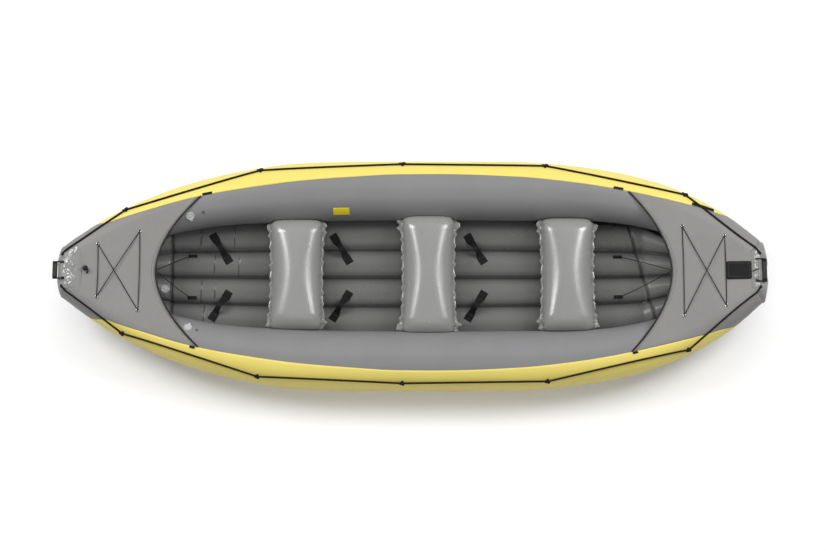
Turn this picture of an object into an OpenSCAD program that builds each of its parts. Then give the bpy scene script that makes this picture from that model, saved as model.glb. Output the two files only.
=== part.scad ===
// Inflatable three-seat canoe raft: two side tubes, an I-beam air floor, three inflatable seats,
// laced spray decks at both ends, lifelines, carrying handles, foot straps and air valves.
// Millimetres. +X runs to the stern, +Y to starboard, +Z up. The origin is on the ground amidships.

/* [Hull] */
// Length over both noses
hull_l = 4500; // [4300:10:4700]
// Width over both side tubes
hull_w = 1484; // [1400:2:1600]
// Diameter of a side tube amidships
tube_d = 380; // [340:2:400]
// Radius of a tube where the bow dome begins
bow_tip_r = 95; // [85:1:110]
// Radius of a tube where the stern dome begins
stern_tip_r = 120; // [100:1:130]
// Where the hull is widest, aft of amidships, as all places along it in shares of its half length
widest_share = 0.0222; // [0:0.002:0.05]
// How long the bow stays full before it turns in
bow_power = 3.43; // [3:0.01:3.8]
// How long the stern stays full before it turns in
stern_power = 4.25; // [3.8:0.01:4.6]
// Where the bow tubes begin to taper, forward of amidships
bow_taper_share = 0.3556; // [0.31:0.005:0.44]
// Where the stern tubes begin to taper, aft of amidships
stern_taper_share = 0.32; // [0.29:0.005:0.44]
// Rise of the tube tops at both noses
sheer = 55; // [20:1:80]
// Thickness of the coated fabric of panels and decks
skin_t = 1.4; // [1:0.1:2]

/* [Floor] */
// Width of an inner floor cell
cell_w = 187; // [175:1:195]
// Height of a floor cell at its crest
floor_t = 102; // [90:1:115]
// Depth of the channels between the cells
channel_d = 27; // [15:1:35]
// Where the floor folds up, forward of amidships
bow_fold_share = 0.6916; // [0.66:0.002:0.698]
// Where the floor folds up, aft of amidships
stern_fold_share = 0.6578; // [0.632:0.002:0.676]
// Slope of the folded ends of the floor
fold_angle = 22; // [15:1:25]
// Length of the folded ends along the hull
fold_l = 250; // [200:5:270]

/* [Seats] */
// Middle of the front seat
seat_front_share = -0.332; // [-0.355:0.001:-0.311]
// Middle of the middle seat
seat_middle_share = 0.044; // [0.022:0.001:0.067]
// Middle of the rear seat
seat_rear_share = 0.44; // [0.418:0.001:0.462]
// Depth of a seat, fore and aft
seat_d = 350; // [300:2:380]
// Height of a seat above the floor
seat_h = 232; // [200:2:250]

/* [Decks] */
// The bow deck's edge on the centreline, forward of amidships
bow_deck_share = 0.7227; // [0.712:0.001:0.746]
// The stern deck's edge on the centreline, aft of amidships
stern_deck_share = 0.7267; // [0.716:0.001:0.746]
// How much further the deck's edge reaches at the sides
deck_arc_d = 275; // [240:1:300]
// Radius of the piping along the deck's edge
piping_r = 5; // [4:0.5:6]
// Radius of the elastic deck lacing and of the deck's tension cords
lacing_r = 2.5; // [2:0.25:3]

/* [Fittings] */
// Radius of the lifeline rope
rope_r = 5; // [4:0.25:6]
// Angle of the lifeline outboard of the tube's top
rope_angle = 50; // [45:1:55]
// Width of the foot strap webbing
strap_w = 48; // [40:1:50]
// Rise of a foot strap above the floor
strap_rise = 46; // [40:1:60]
// Thickness of all webbing
web_t = 3; // [2:0.5:4]
// Radius of a valve's flange
valve_r = 28; // [26:0.5:30]
// Travel of a valve's plunger
plunger_travel = 6; // [4:0.5:7]
// Reach of the bow handle past the nose
handle_reach = 12; // [8:1:20]
// Length of the bow handle's grip
bow_grip_l = 112; // [100:1:130]
// Length of the stern handle's grip
stern_grip_l = 150; // [120:1:156]

/* [Hidden] */

$fn = 48;
hull_grey = "#8f9192";
floor_grey = "#6f7173";
seat_grey = "#a6a8a9";
panel_yellow = "#f2b90c";
webbing_black = "#1c1c1e";
valve_white = "#d8dad8";
eyelet_silver = "#c4c6c8";

// Stations that are typed below are those of a hull 4500 long, and keep their share of its length
along = hull_l / 4500;
half_l = hull_l / 2;
widest = widest_share * half_l;
bow_taper = bow_taper_share * half_l;
stern_taper = stern_taper_share * half_l;
bow_fold = bow_fold_share * half_l;
stern_fold = stern_fold_share * half_l;
front_seat_x = seat_front_share * half_l;
middle_seat_x = seat_middle_share * half_l;
rear_seat_x = seat_rear_share * half_l;
bow_deck = bow_deck_share * half_l;
stern_deck = stern_deck_share * half_l;

// Clearance between soft pieces that lie against each other
gap = 0.3;
// Clearance of a sheet that crosses the tube's facets at a slant
lay = 1;
tube_r0 = tube_d / 2;
tube_sides = 24;
tube_steps = 32;
ring_step = 360 / tube_sides;
// The lowest facet of a tube lies flat on the ground
tube_z0 = tube_r0 * cos(ring_step / 2);
tube_y0 = hull_w / 2 - tube_r0;
bow_end = hull_l / 2 - bow_tip_r;
stern_end = hull_l / 2 - stern_tip_r;
// Half of the flat where the two noses meet
nose_y = 0.2;
// Share of a tube's distance from the centreline that its dome gives up at the nose
nose_pinch = 0.45;
// Where the plan curve of each end would cross the centreline, past the end and from the widest station
bow_plan_past = 115;
stern_plan_past = 105;
bow_plan_l = bow_end + widest + bow_plan_past;
stern_plan_l = stern_end - widest + stern_plan_past;
sheer_x = 900 * along;
// The panel runs from the ring's second corner down to its tenth
panel_angles = [for (i = [1:9]) (i + 0.5) * ring_step];
panel_bow_x = 2010 * along;
panel_stern_x = 2000 * along;

function lerp(a, b, t) = a + (b - a) * t;
function unit(v) = v / norm(v);

// Side tubes: every function takes a station along the hull, and past a tube's end its dome
function from_widest(s) = abs(s - widest);
function aft(s) = s > widest;
function plan_l(s) = aft(s) ? stern_plan_l : bow_plan_l;
function plan_power(s) = aft(s) ? stern_power : bow_power;
function end_x(s) = s < 0 ? bow_end : stern_end;
function tip_r(s) = s < 0 ? bow_tip_r : stern_tip_r;
function taper_x(s) = s < 0 ? bow_taper : stern_taper;
function held(s) = sign(s) * min(abs(s), end_x(s));
function over(s) = min(1, max(0, abs(s) - end_x(s)) / tip_r(s));
function plan_y(s) = tube_y0 * (1 - pow(from_widest(s) / plan_l(s), plan_power(s)));
function plan_slope(s) = atan(
    tube_y0 * plan_power(s) / plan_l(s) * pow(from_widest(s) / plan_l(s), plan_power(s) - 1));
function full_r(s) = lerp(tube_r0, tip_r(s), max(0, abs(s) - taper_x(s)) / (end_x(s) - taper_x(s)));
function rise(s) = sheer * pow(max(0, abs(s) - sheer_x) / (end_x(s) - sheer_x), 2);
function tube_r(s) = full_r(held(s)) * sqrt(1 - pow(over(s), 2));
function tube_y(s) = plan_y(held(s)) * (1 - nose_pinch * over(s));
function tube_z(s) = tube_z0 + tube_r0 - full_r(held(s)) + rise(held(s));
function tube_lean(s) = (aft(s) ? 1 : -1) * plan_slope(held(s)) * (1 - over(s));
// Direction square to a tube, an angle outboard of its top
function tube_out(s, side, angle) =
    [sin(tube_lean(s)) * sin(angle), side * cos(tube_lean(s)) * sin(angle), cos(angle)];
function tube_core(s, side) = [s, side * tube_y(s), tube_z(s)];
function tube_point(s, side, angle, off = 0) =
    tube_core(s, side) + (tube_r(s) + off) * tube_out(s, side, angle);
function clear_of_middle(p, side) = [p[0], side * max(side * p[1], nose_y), p[2]];

// Closed solid through rings of equal counts that follow each other along +X
module loft(rings, flip = false) {
    n = len(rings[0]);
    m = len(rings);
    walls = [for (i = [0:m - 2], j = [0:n - 1])
        let (a = i * n + j, b = i * n + (j + 1) % n)
        each [[a, b, b + n], [a, b + n, a + n]]];
    last = (m - 1) * n;
    caps = [for (j = [1:n - 2]) each [[0, j + 1, j], [last, last + j, last + j + 1]]];
    faces = concat(walls, caps);
    polyhedron([for (r = rings) each r], [for (f = faces) flip ? [f[2], f[1], f[0]] : f]);
}

// Closed sheet between two grids of points, rows along +X and columns along +Y
module sheet(top, under, flip = false) {
    m = len(top);
    n = len(top[0]);
    u = m * n;
    skins = [for (i = [0:m - 2], j = [0:n - 2])
        let (a = i * n + j, b = a + 1, c = a + n, d = c + 1)
        each [[a, b, d], [a, d, c], [u + d, u + b, u + a], [u + c, u + d, u + a]]];
    ends = [for (j = [0:n - 2])
        let (a = j, c = (m - 1) * n + j)
        each [[a + 1, a, u + a], [a + 1, u + a, u + a + 1],
              [c, c + 1, u + c + 1], [c, u + c + 1, u + c]]];
    sides = [for (i = [0:m - 2])
        let (a = i * n, b = i * n + n - 1)
        each [[a, a + n, u + a + n], [a, u + a + n, u + a],
              [b + n, b, u + b], [b + n, u + b, u + b + n]]];
    faces = concat(skins, ends, sides);
    points = concat([for (r = top) each r], [for (r = under) each r]);
    polyhedron(points, [for (f = faces) flip ? [f[2], f[1], f[0]] : f]);
}

// Rings of one profile along a path, square to it, the profile turned by a twist at each point
function heading(path, i) =
    unit(path[min(i + 1, len(path) - 1)] - path[max(i - 1, 0)]);
function swept(path, profile, twists = []) = [for (i = [0:len(path) - 1])
    let (t = heading(path, i),
         u = unit(cross([0, 0, 1], t)),
         v = cross(t, u),
         w = len(twists) == 0 ? 0 : twists[i])
    [for (q = profile)
        path[i] + (q[0] * cos(w) + q[1] * sin(w)) * u + (q[1] * cos(w) - q[0] * sin(w)) * v]];
function round_profile(r, sides = 8) =
    [for (k = [0:sides - 1]) r * [sin(k * 360 / sides), cos(k * 360 / sides)]];
function flat_profile(w, t) = [[-w / 2, t / 2], [w / 2, t / 2], [w / 2, -t / 2], [-w / 2, -t / 2]];

module turn_to(direction)
    rotate([0, acos(direction[2]), atan2(direction[1], direction[0])]) children();

// Side tubes with their sockets for the valves
dome_steps = [0.45, 0.75, 0.93, 0.995];
tube_stations = concat(
    [for (i = [3:-1:0]) -bow_end - dome_steps[i] * bow_tip_r],
    [for (i = [0:tube_steps]) lerp(-bow_end, stern_end, i / tube_steps)],
    [for (k = dome_steps) stern_end + k * stern_tip_r]);
// A chamber is made in lengths, which lie half a gap from each weld
function length_of(stations, welds, i) = let (
        lo = i == 0 ? stations[0] : stations[welds[i - 1]] + gap / 2,
        hi = i == len(welds) ? stations[len(stations) - 1] : stations[welds[i]] - gap / 2)
    concat([lo], [for (s = stations) if (s > lo + gap && s < hi - gap) s], [hi]);
tube_welds = [6, 9, 10, 12, 16, 24, 28, 31, 34];
valve_length = 2;
module tube_length(side, i) color(hull_grey)
    loft([for (s = length_of(tube_stations, tube_welds, i)) [for (j = [0:tube_sides - 1])
        clear_of_middle(tube_point(s, side, (j + 0.5) * ring_step), side)]], side < 0);
module side_tube(side) for (i = [0:len(tube_welds)]) if (i != valve_length) tube_length(side, i);
module side_tube_valve(side) difference() {
    tube_length(side, valve_length);
    color(hull_grey) at_hull_valve(side) valve_socket();
}
module side_tube_valve_port() side_tube_valve(-1);
module side_tube_valve_starboard() side_tube_valve(1);
module side_tube_port() side_tube(-1);
module side_tube_starboard() side_tube(1);

// Outer panels in the second colour, on the same facets as the tubes
panel_stations = [for (s = tube_stations) if (s > -panel_bow_x && s < panel_stern_x) s];
function panel_grid(side, off) =
    [for (s = panel_stations) [for (a = panel_angles) tube_point(s, side, a, off)]];
module side_panel(side) color(panel_yellow)
    sheet(panel_grid(side, gap + skin_t), panel_grid(side, gap), side < 0);
module side_panel_port() side_panel(-1);
module side_panel_starboard() side_panel(1);

// Floor: four inflated cells side by side, folded up at both ends
floor_z0 = 3;
cell_bulge = 0.75;
floor_mid = floor_t / 2;
floor_taper = 0.17;
floor_taper_power = 2.2;
fold_narrow = 0.45;
// Share of the floor's narrowing that its inner cells take
inner_share = 0.7;
floor_flat_x = 850 * along;
floor_fold_rise = 48;
under_channel = 15;
// The outer cells meet the tubes this far up their sides
touch_angle = 20;
touch_z = floor_z0 + floor_mid * (1 + sin(touch_angle));
touch_y = tube_y0 - sqrt(pow(tube_r0, 2) - pow(touch_z - tube_z0, 2)) - 2 * gap;
floor_half0 = cell_w + 2 * (touch_y - cell_w) / (1 + cos(touch_angle));
floor_steps = 20;
cell_steps = 6;
function fold_x(s) = s < 0 ? bow_fold : stern_fold;
function past_fold(s) = max(0, abs(s) - fold_x(s));
function before_fold(s) = min(abs(s), fold_x(s));
function floor_base(s) = floor_z0 + past_fold(s) * tan(fold_angle)
    + floor_fold_rise * pow(max(0, before_fold(s) - floor_flat_x) / (fold_x(s) - floor_flat_x), 2);
function floor_scale(s) = (1 - floor_taper * pow(before_fold(s) / fold_x(s), floor_taper_power))
    * (1 - fold_narrow * past_fold(s) / fold_l);
function floor_half(s) = floor_half0 * floor_scale(s);
function inner_cell(s) = cell_w * lerp(1, floor_scale(s), inner_share);
function bulge(t) = pow(max(0, sin(180 * t)), cell_bulge);
function rim(t) = sqrt(max(0, 1 - pow(2 * t - 1, 2)));
function cell_t(s, y) = abs(y) < inner_cell(s)
    ? abs(y) / inner_cell(s)
    : (abs(y) - inner_cell(s)) / (floor_half(s) - inner_cell(s));
function at_rim(s, y) = abs(y) > inner_cell(s) && cell_t(s, y) > 0.5;
function floor_top(s, y) = floor_base(s) + (at_rim(s, y)
    ? floor_mid + floor_mid * rim(cell_t(s, y))
    : floor_t - channel_d * (1 - bulge(cell_t(s, y))));
function floor_under(s, y) = floor_base(s) + (at_rim(s, y)
    ? floor_mid - floor_mid * rim(cell_t(s, y))
    : under_channel * (1 - bulge(cell_t(s, y))));
// Points across a cell, from the middle outboard: the rim's crowd towards the edge, so that it stays round
function inner_ys(s) = [for (k = [0:cell_steps]) inner_cell(s) * k / cell_steps];
function outer_ys(s) = [for (k = [0:cell_steps]) let (t = k / cell_steps)
    lerp(inner_cell(s), floor_half(s), t < 0.5 ? t : 0.5 + 0.5 * sin((t - 0.5) * 180))];
// Neighbouring cells are welded along their channels, half a gap from each other's middle plane
function off_weld(ys, outer) = [for (i = [0:cell_steps])
    ys[i] + (i == 0 ? gap / 2 : i == cell_steps && !outer ? -gap / 2 : 0)];
function cell_ring(s, side, outer) = let (
        ys = off_weld(outer ? outer_ys(s) : inner_ys(s), outer),
        top = [for (y = ys) [s, side * y, floor_top(s, y)]],
        last = outer ? cell_steps - 1 : cell_steps,
        under = [for (i = [last:-1:0]) [s, side * ys[i], floor_under(s, ys[i])]])
    concat(top, under);
floor_stations = concat(
    [-bow_fold - fold_l, -bow_fold - fold_l / 2],
    [for (i = [0:floor_steps]) lerp(-bow_fold, stern_fold, i / floor_steps)],
    [stern_fold + fold_l / 2, stern_fold + fold_l]);
floor_welds = [2, 4, 6, 18, 20, 22];
module cell_length(side, outer, i) color(floor_grey)
    loft([for (s = length_of(floor_stations, floor_welds, i)) cell_ring(s, side, outer)], side < 0);
module floor_cell(side, outer, first = 0)
    for (i = [first:len(floor_welds)]) cell_length(side, outer, i);
module floor_cell_port_outer() floor_cell(-1, true);
module floor_cell_port_inner() floor_cell(-1, false, 1);
// The folded end of that cell has the floor's valve
module floor_cell_valve() difference() {
    cell_length(-1, false, 0);
    color(floor_grey) at_floor_valve() valve_socket();
}
module floor_cell_starboard_inner() floor_cell(1, false);
module floor_cell_starboard_outer() floor_cell(1, true);
// Bottom fabric under the floor, from tube to tube and up to both noses
bottom_end_steps = 4;
bottom_nose = 8;
// Where the bottom is joined to a tube, inboard of its top: amidships, and from the floor's fold on
join_angle = 155;
end_join_angle = 180;
// Share of the rim that the bottom follows before it leaves the floor
rim_share = 0.85;
rim_slack = 0.25;
function floor_end(s) = fold_x(s) + fold_l;
// Past the floor the bottom narrows and rises to the noses
nose_share = 0.3;
function past_floor(s) = max(0, abs(s) - floor_end(s)) / (end_x(s) - floor_end(s));
function rim_y(s) = lerp(inner_cell(s), floor_half(s), rim_share);
function rim_z(s) = floor_base(s) + floor_mid * (1 - rim(rim_share)) * rim_slack;
function under_floor(s) = [[0, floor_base(s)], [inner_cell(s), floor_base(s)],
    [(inner_cell(s) + floor_half(s)) / 2, floor_base(s)], [rim_y(s), rim_z(s)]];
function under_nose(s) = let (e = sign(s) * floor_end(s), n = sign(s) * end_x(s), t = past_floor(s),
        w = lerp(rim_y(e), nose_share * tube_y(n), t),
        z = lerp(floor_base(e), tube_z(n) - tube_r(n), t))
    [for (k = [0, 0.4, 0.7, 1]) [k * w, z]];
function bottom_inner(s) = past_floor(s) > 0 ? under_nose(s) : under_floor(s);
// The bottom runs on to the tube along the tangent, or to its seam where that comes first
function seam_angle(s) = lerp(join_angle, end_join_angle, min(1, abs(s) / fold_x(s)));
function tangent_angle(s, p) = let (q = [p[0] - tube_y(s), p[1] - tube_z(s)])
    (atan2(q[1], q[0]) + 360) % 360 + acos(min(1, tube_r(s) / norm(q))) - 90;
function join_at(s, p) = -min(seam_angle(s), tangent_angle(s, p));
function bottom_join(s, p, off) = let (j = tube_point(s, 1, join_at(s, p), off)) [j[1], j[2]];
function bottom_half(s, off) = let (inner = bottom_inner(s))
    concat([for (p = inner) [p[0], p[1] - off]], [bottom_join(s, inner[3], off + 2 * gap)]);
function bottom_row(s, off) = let (half = bottom_half(s, off))
    concat([for (i = [len(half) - 1:-1:1]) [s, -half[i][0], half[i][1]]], [for (p = half) [s, p[0], p[1]]]);
bottom_stations = concat(
    [for (i = [0:bottom_end_steps - 1])
        lerp(bottom_nose - bow_end, floor_stations[0], i / bottom_end_steps)],
    floor_stations,
    [for (i = [1:bottom_end_steps])
        lerp(floor_end(1), stern_end - bottom_nose, i / bottom_end_steps)]);
module hull_bottom() color(hull_grey)
    sheet([for (s = bottom_stations) bottom_row(s, gap)],
        [for (s = bottom_stations) bottom_row(s, gap + skin_t)]);
// A patch that lies on the floor, given by its centre, its half sizes and its turn
function floor_point(s, y, off) = [s, y, floor_top(s, y) + off];
patch_lay = lay + gap / 2;
module floor_patch(at, half, turn, t, cuts = 2) {
    function spot(i, j) = let (a = lerp(-half[0], half[0], i / cuts), b = lerp(-half[1], half[1], j / cuts))
        [at[0] + a * cos(turn) - b * sin(turn), at[1] + a * sin(turn) + b * cos(turn)];
    function grid(off) = [for (i = [0:cuts]) [for (j = [0:cuts])
        floor_point(spot(i, j)[0], spot(i, j)[1], off)]];
    sheet(grid(patch_lay + t), grid(patch_lay));
}

// Seats: inflated cross cushions between the tubes
seat_clear = 1.5;
seat_draw = 0.05;
seat_crown = 0.1;
seat_squareness = 2.7;
seat_end_round = 60;
seat_sides = 20;
seat_steps = 14;
function seat_half(s) = tube_point(s + (s < widest ? -1 : 1) * seat_d / 2, 1, -90)[1] - seat_clear;
// Half of the flat of a seat's underside, and where it bears on the rising floor
seat_flat = seat_d / 2 * squared(sin(180 / seat_sides));
function seat_base(s) = floor_base(s + sign(s) * seat_flat) + floor_t + 2 * gap;
function end_round(s, y) = let (k = max(0, abs(y) - seat_half(s) + seat_end_round) / seat_end_round)
    0.72 + 0.28 * sqrt(max(0, 1 - k * k));
function seat_half_d(s, y) = seat_d / 2 * (1 - seat_draw * (1 - pow(y / seat_half(s), 2))) * end_round(s, y);
function seat_height(s, y) = seat_h * (1 - seat_crown * pow(y / seat_half(s), 2)) * end_round(s, y);
function squared(v) = sign(v) * pow(abs(v), 2 / seat_squareness);
function seat_ring(s, y) = [for (k = [0:seat_sides - 1])
    let (a = (k + 0.5) * 360 / seat_sides, h = seat_height(s, y) / 2)
    [s + seat_half_d(s, y) * squared(sin(a)), y,
     seat_base(s) + seat_h * seat_sink(s, y) + h + h * squared(cos(a)) / squared(cos(180 / seat_sides))]];
function seat_sink(s, y) = (1 - end_round(s, y)) / 2;
function seat_y(s, i) = seat_half(s) * sin(180 * (i / seat_steps - 0.5));
module seat(s) color(seat_grey)
    loft([for (i = [0:seat_steps]) seat_ring(s, seat_y(s, i))], true);
module seat_front() seat(front_seat_x);
module seat_middle() seat(middle_seat_x);
module seat_rear() seat(rear_seat_x);

// Push-in valves on the aft side of the seats
seat_valve_y = -150;
seat_valve_r = 15;
seat_valve_h = 5;
function seat_side_x(s) =
    s + seat_half_d(s, seat_valve_y) * squared(cos(180 / seat_sides)) + 3 * gap;
module seat_valve(s) color(valve_white)
    translate([seat_side_x(s), seat_valve_y, seat_base(s) + seat_height(s, seat_valve_y) / 2])
    rotate([0, 90, 0]) {
        cylinder(r = seat_valve_r, h = seat_valve_h / 2);
        cylinder(r = seat_valve_r * 0.6, h = seat_valve_h);
    }
module seat_valve_front() seat_valve(front_seat_x);
module seat_valve_middle() seat_valve(middle_seat_x);
module seat_valve_rear() seat_valve(rear_seat_x);

// Spray decks: fabric over both tubes at each end, with a hollow curved edge
deck_flat = 0.6;
deck_side_angle = ring_step * 1.5 - 2;
deck_columns = 20;
deck_rows = 8;
deck_nose = 6;
// Half width of the arc of the deck's edge, in shares of half the hull's width, and how round it is
bow_arc_share = 0.647;
stern_arc_share = 0.706;
deck_arc_power = 1.85;
deck_arc_rounds = 10;
function deck_angle(v) = max(0, abs(v) - deck_flat) / (1 - deck_flat) * deck_side_angle;
function deck_point(s, v, off) = abs(v) > deck_flat
    ? tube_point(s, sign(v), deck_angle(v), off)
    : [s, v / deck_flat * tube_y(s), tube_z(s) + tube_r(s) + off];
function deck_z(s, off) = tube_z(s) + tube_r(s) + off;
function deck_pitch(s) = atan((deck_z(s + 1, 0) - deck_z(s - 1, 0)) / 2);
function deck_arc(end, y) = let (w = (end < 0 ? bow_arc_share : stern_arc_share) * hull_w / 2)
    end * ((end < 0 ? bow_deck : stern_deck) - deck_arc_d * pow(abs(y) / w, deck_arc_power));
// The station where the arc crosses a line along the deck, found in a few rounds
function deck_edge(end, v, rounds = 0, s = undef) = let (at = is_undef(s) ? deck_arc(end, 0) : s,
        p = deck_point(at, v, 0))
    rounds == deck_arc_rounds ? at : deck_edge(end, v, rounds + 1, deck_arc(end, p[1]) - p[0] + at);
function deck_end(end) = end * (end_x(end) - deck_nose);
function deck_v(j) = lerp(-1, 1, j / deck_columns);
function deck_s(end, i, v) = let (a = deck_edge(end, v), b = deck_end(end), k = i / deck_rows)
    end < 0 ? lerp(b, a, k) : lerp(a, b, k);
function deck_grid(end, off) = [for (i = [0:deck_rows]) [for (j = [0:deck_columns])
    deck_point(deck_s(end, i, deck_v(j)), deck_v(j), off)]];
module spray_deck(end) color(hull_grey) sheet(deck_grid(end, lay + skin_t), deck_grid(end, lay));
module spray_deck_bow() spray_deck(-1);
module spray_deck_stern() spray_deck(1);

// The piping lies along the edge, set off from it by the slant of the edge
function edge_path(end) = [for (j = [0:deck_columns]) deck_point(deck_edge(end, deck_v(j)), deck_v(j), lay)];
function edge_slant(end, j) = let (t = heading(edge_path(end), j)) abs(t[1]) / norm([t[0], t[1]]);
function piping_path(end) = [for (j = [0:deck_columns])
    let (v = deck_v(j), s = deck_edge(end, v) - end * (piping_r + 5 * gap) / edge_slant(end, j))
    deck_point(s, v, piping_r + lay)];
module deck_piping(end) color(webbing_black)
    loft(swept(piping_path(end), round_profile(piping_r, 6)));
module deck_piping_bow() deck_piping(-1);
module deck_piping_stern() deck_piping(1);

// Wrinkled nose patches over both domes
patch_rows = [-deck_nose + 1, 0, 25, 50, 70, 84];
patch_columns = 12;
function patch_s(end, i) = end * (end_x(end) + patch_rows[i] * tip_r(end) / 100);
function patch_grid(end, off) = [for (i = end < 0 ? [len(patch_rows) - 1:-1:0] : [0:len(patch_rows) - 1])
    [for (j = [0:patch_columns]) deck_point(patch_s(end, i), lerp(-1, 1, j / patch_columns), off)]];
module nose_patch(end) color(hull_grey)
    sheet(patch_grid(end, lay + skin_t), patch_grid(end, lay));
module nose_patch_bow() nose_patch(-1);
module nose_patch_stern() nose_patch(1);

// Deck lacing: four eyelets on each deck, two cords across and two on the diagonals
eyelet_r = 8;
eyelet_wire = 2.5;
bow_eyelets = [[-1983 * along, 168], [-1725 * along, 252]];
stern_eyelets = [[1700 * along, 284], [1962 * along, 222]];
lacing_off = lay + skin_t + gap + lacing_r;
function eyelets(end) = end < 0 ? bow_eyelets : stern_eyelets;
module deck_eyelets(end) color(eyelet_silver)
    for (e = eyelets(end), side = [-1, 1])
        translate([e[0], side * e[1], deck_z(e[0], lay + skin_t + 2 * gap + eyelet_wire)])
        rotate([0, -deck_pitch(e[0]), 0])
        rotate_extrude() translate([eyelet_r, 0]) circle(r = eyelet_wire);
module deck_eyelets_bow() deck_eyelets(-1);
module deck_eyelets_stern() deck_eyelets(1);

// A straight cord between two eyelets, raised by a hump where it passes over another
function laid(a, b, hump) = [for (k = [0:6]) let (t = k / 6, s = lerp(a[0], b[0], t))
    [s, lerp(a[1], b[1], t), lerp(deck_z(a[0], 0), deck_z(b[0], 0), t) + lacing_off
        + hump * min(1, 3 * t, 3 - 3 * t)]];
function pulled_in(a, b) = a + unit(b - a) * (eyelet_r + eyelet_wire + lacing_r + gap);
module lace(a, b, hump = 0)
    loft(swept(laid(pulled_in(a, b), pulled_in(b, a), hump), round_profile(lacing_r, 6)));
function other_side(p) = [p[0], -p[1]];
module deck_lacing(end) color(webbing_black) {
    e = eyelets(end);
    for (p = e)
        lace(other_side(p), p);
    lace(e[0], other_side(e[1]));
    lace(other_side(e[0]), e[1], 2 * lacing_r + 2 * gap);
}
module deck_lacing_bow() deck_lacing(-1);
module deck_lacing_stern() deck_lacing(1);

// Tension cords from the middle of a deck's edge down to two tabs on the floor
tab_half = [28, 11];
tab_t = 4;
// Where on a tab its cord ends, as a share of the tab's half length
tab_cord = 0.6;
bow_tab = [-1425 * along, 135];
stern_tab = [1325 * along, 130];
function tab_at(end) = end < 0 ? bow_tab : stern_tab;
module tension_tabs(end) color(webbing_black)
    for (side = [-1, 1])
        floor_patch([tab_at(end)[0], side * tab_at(end)[1]], tab_half, 0, tab_t);
module tension_tabs_bow() tension_tabs(-1);
module tension_tabs_stern() tension_tabs(1);
module deck_tensioner(end) color(webbing_black) {
    tab = tab_at(end);
    top_s = deck_edge(end, 0) - end * (2 * piping_r + lacing_r + 2 * gap);
    low_s = tab[0] + end * tab_half[0] * tab_cord;
    for (side = [-1, 1]) {
        top = [top_s, side * 2 * lacing_r, deck_z(top_s, piping_r)];
        low = floor_point(low_s, side * tab[1], lay + tab_t + lacing_r + 3 * gap);
        loft(swept([low, lerp(low, top, 0.5), top], round_profile(lacing_r, 6)), false);
    }
}
module deck_tensioner_bow() deck_tensioner(-1);
module deck_tensioner_stern() deck_tensioner(1);

// Lifelines: a rope along each tube, straight between its anchors and lying on the panel
anchor_xs = [-1784, -963, -67, 842, 1687] * along;
anchor_wall = 2;
anchor_l = 10;
anchor_play = 1.8;
rope_span_steps = 7;
rope_off = skin_t + gap + anchor_wall + anchor_play + rope_r;
rope_ends = [-2190, 2166] * along;
bow_rope_angle = 19;
stern_rope_angle = 10;
rope_marks = concat([rope_ends[0]], anchor_xs, [rope_ends[1]]);
function mark_angle(s) = s == rope_ends[0] ? bow_rope_angle
    : s == rope_ends[1] ? stern_rope_angle
    : rope_angle;
function mark_y(s) = tube_point(s, 1, mark_angle(s), rope_off)[1];
function mark_x(s) = tube_point(s, 1, mark_angle(s), rope_off)[0];
function rope_angle_at(s, y) =
    asin(min(0.98, (y - tube_y(s)) / ((tube_r(s) + rope_off) * cos(tube_lean(s)))));
function rope_span(a, b, k) = let (t = k / rope_span_steps, s = lerp(a, b, t),
        y = lerp(mark_y(a), mark_y(b), t))
    tube_point(s, 1, min(rope_angle, rope_angle_at(s, y)), rope_off);
function rope_path(side) = [for (i = [0:len(rope_marks) - 2], k = [0:rope_span_steps])
    if (k < rope_span_steps || i == len(rope_marks) - 2)
        let (p = rope_span(rope_marks[i], rope_marks[i + 1], k)) [p[0], side * p[1], p[2]]];
module lifeline(side) color(webbing_black) loft(swept(rope_path(side), round_profile(rope_r, 6)));
module lifeline_port() lifeline(-1);
module lifeline_starboard() lifeline(1);
function rope_heading(i, side) = heading(rope_path(side), (i + 1) * rope_span_steps);
module lifeline_anchors(side) color(webbing_black)
    for (i = [0:len(anchor_xs) - 1])
        translate(rope_path(side)[(i + 1) * rope_span_steps])
        turn_to(rope_heading(i, side))
        difference() {
            cylinder(r = rope_r + anchor_play + anchor_wall, h = anchor_l, center = true);
            cylinder(r = rope_r + anchor_play, h = 2 * anchor_l, center = true);
        }
module lifeline_anchors_port() lifeline_anchors(-1);
module lifeline_anchors_starboard() lifeline_anchors(1);

// Carrying handles: a webbing loop on two eyes, each round a bar of the anchor
bar_r = 3;
eye_r = 6;
eye_w = 8;
lug_w = 6;
grip_w = 30;
anchor_plate_t = 3;
bow_hinge = [-bow_end - 0.37 * bow_tip_r, bow_grip_l / 2 - eye_w];
stern_hinge = [stern_end + 0.2 * stern_tip_r, stern_grip_l / 2 - eye_w];
function hinge_of(end) = end < 0 ? bow_hinge : stern_hinge;
function grip_of(end) = end < 0 ? bow_grip_l : stern_grip_l;
// The anchor lies on the sloping nose, and its bars stand off square to it
bar_h = anchor_plate_t + gap + eye_r;
function hinge_at(end) = let (s = hinge_of(end)[0], a = deck_pitch(s))
    [s - bar_h * sin(a), 0, deck_z(s, lay + skin_t) + bar_h * cos(a)];
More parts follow.
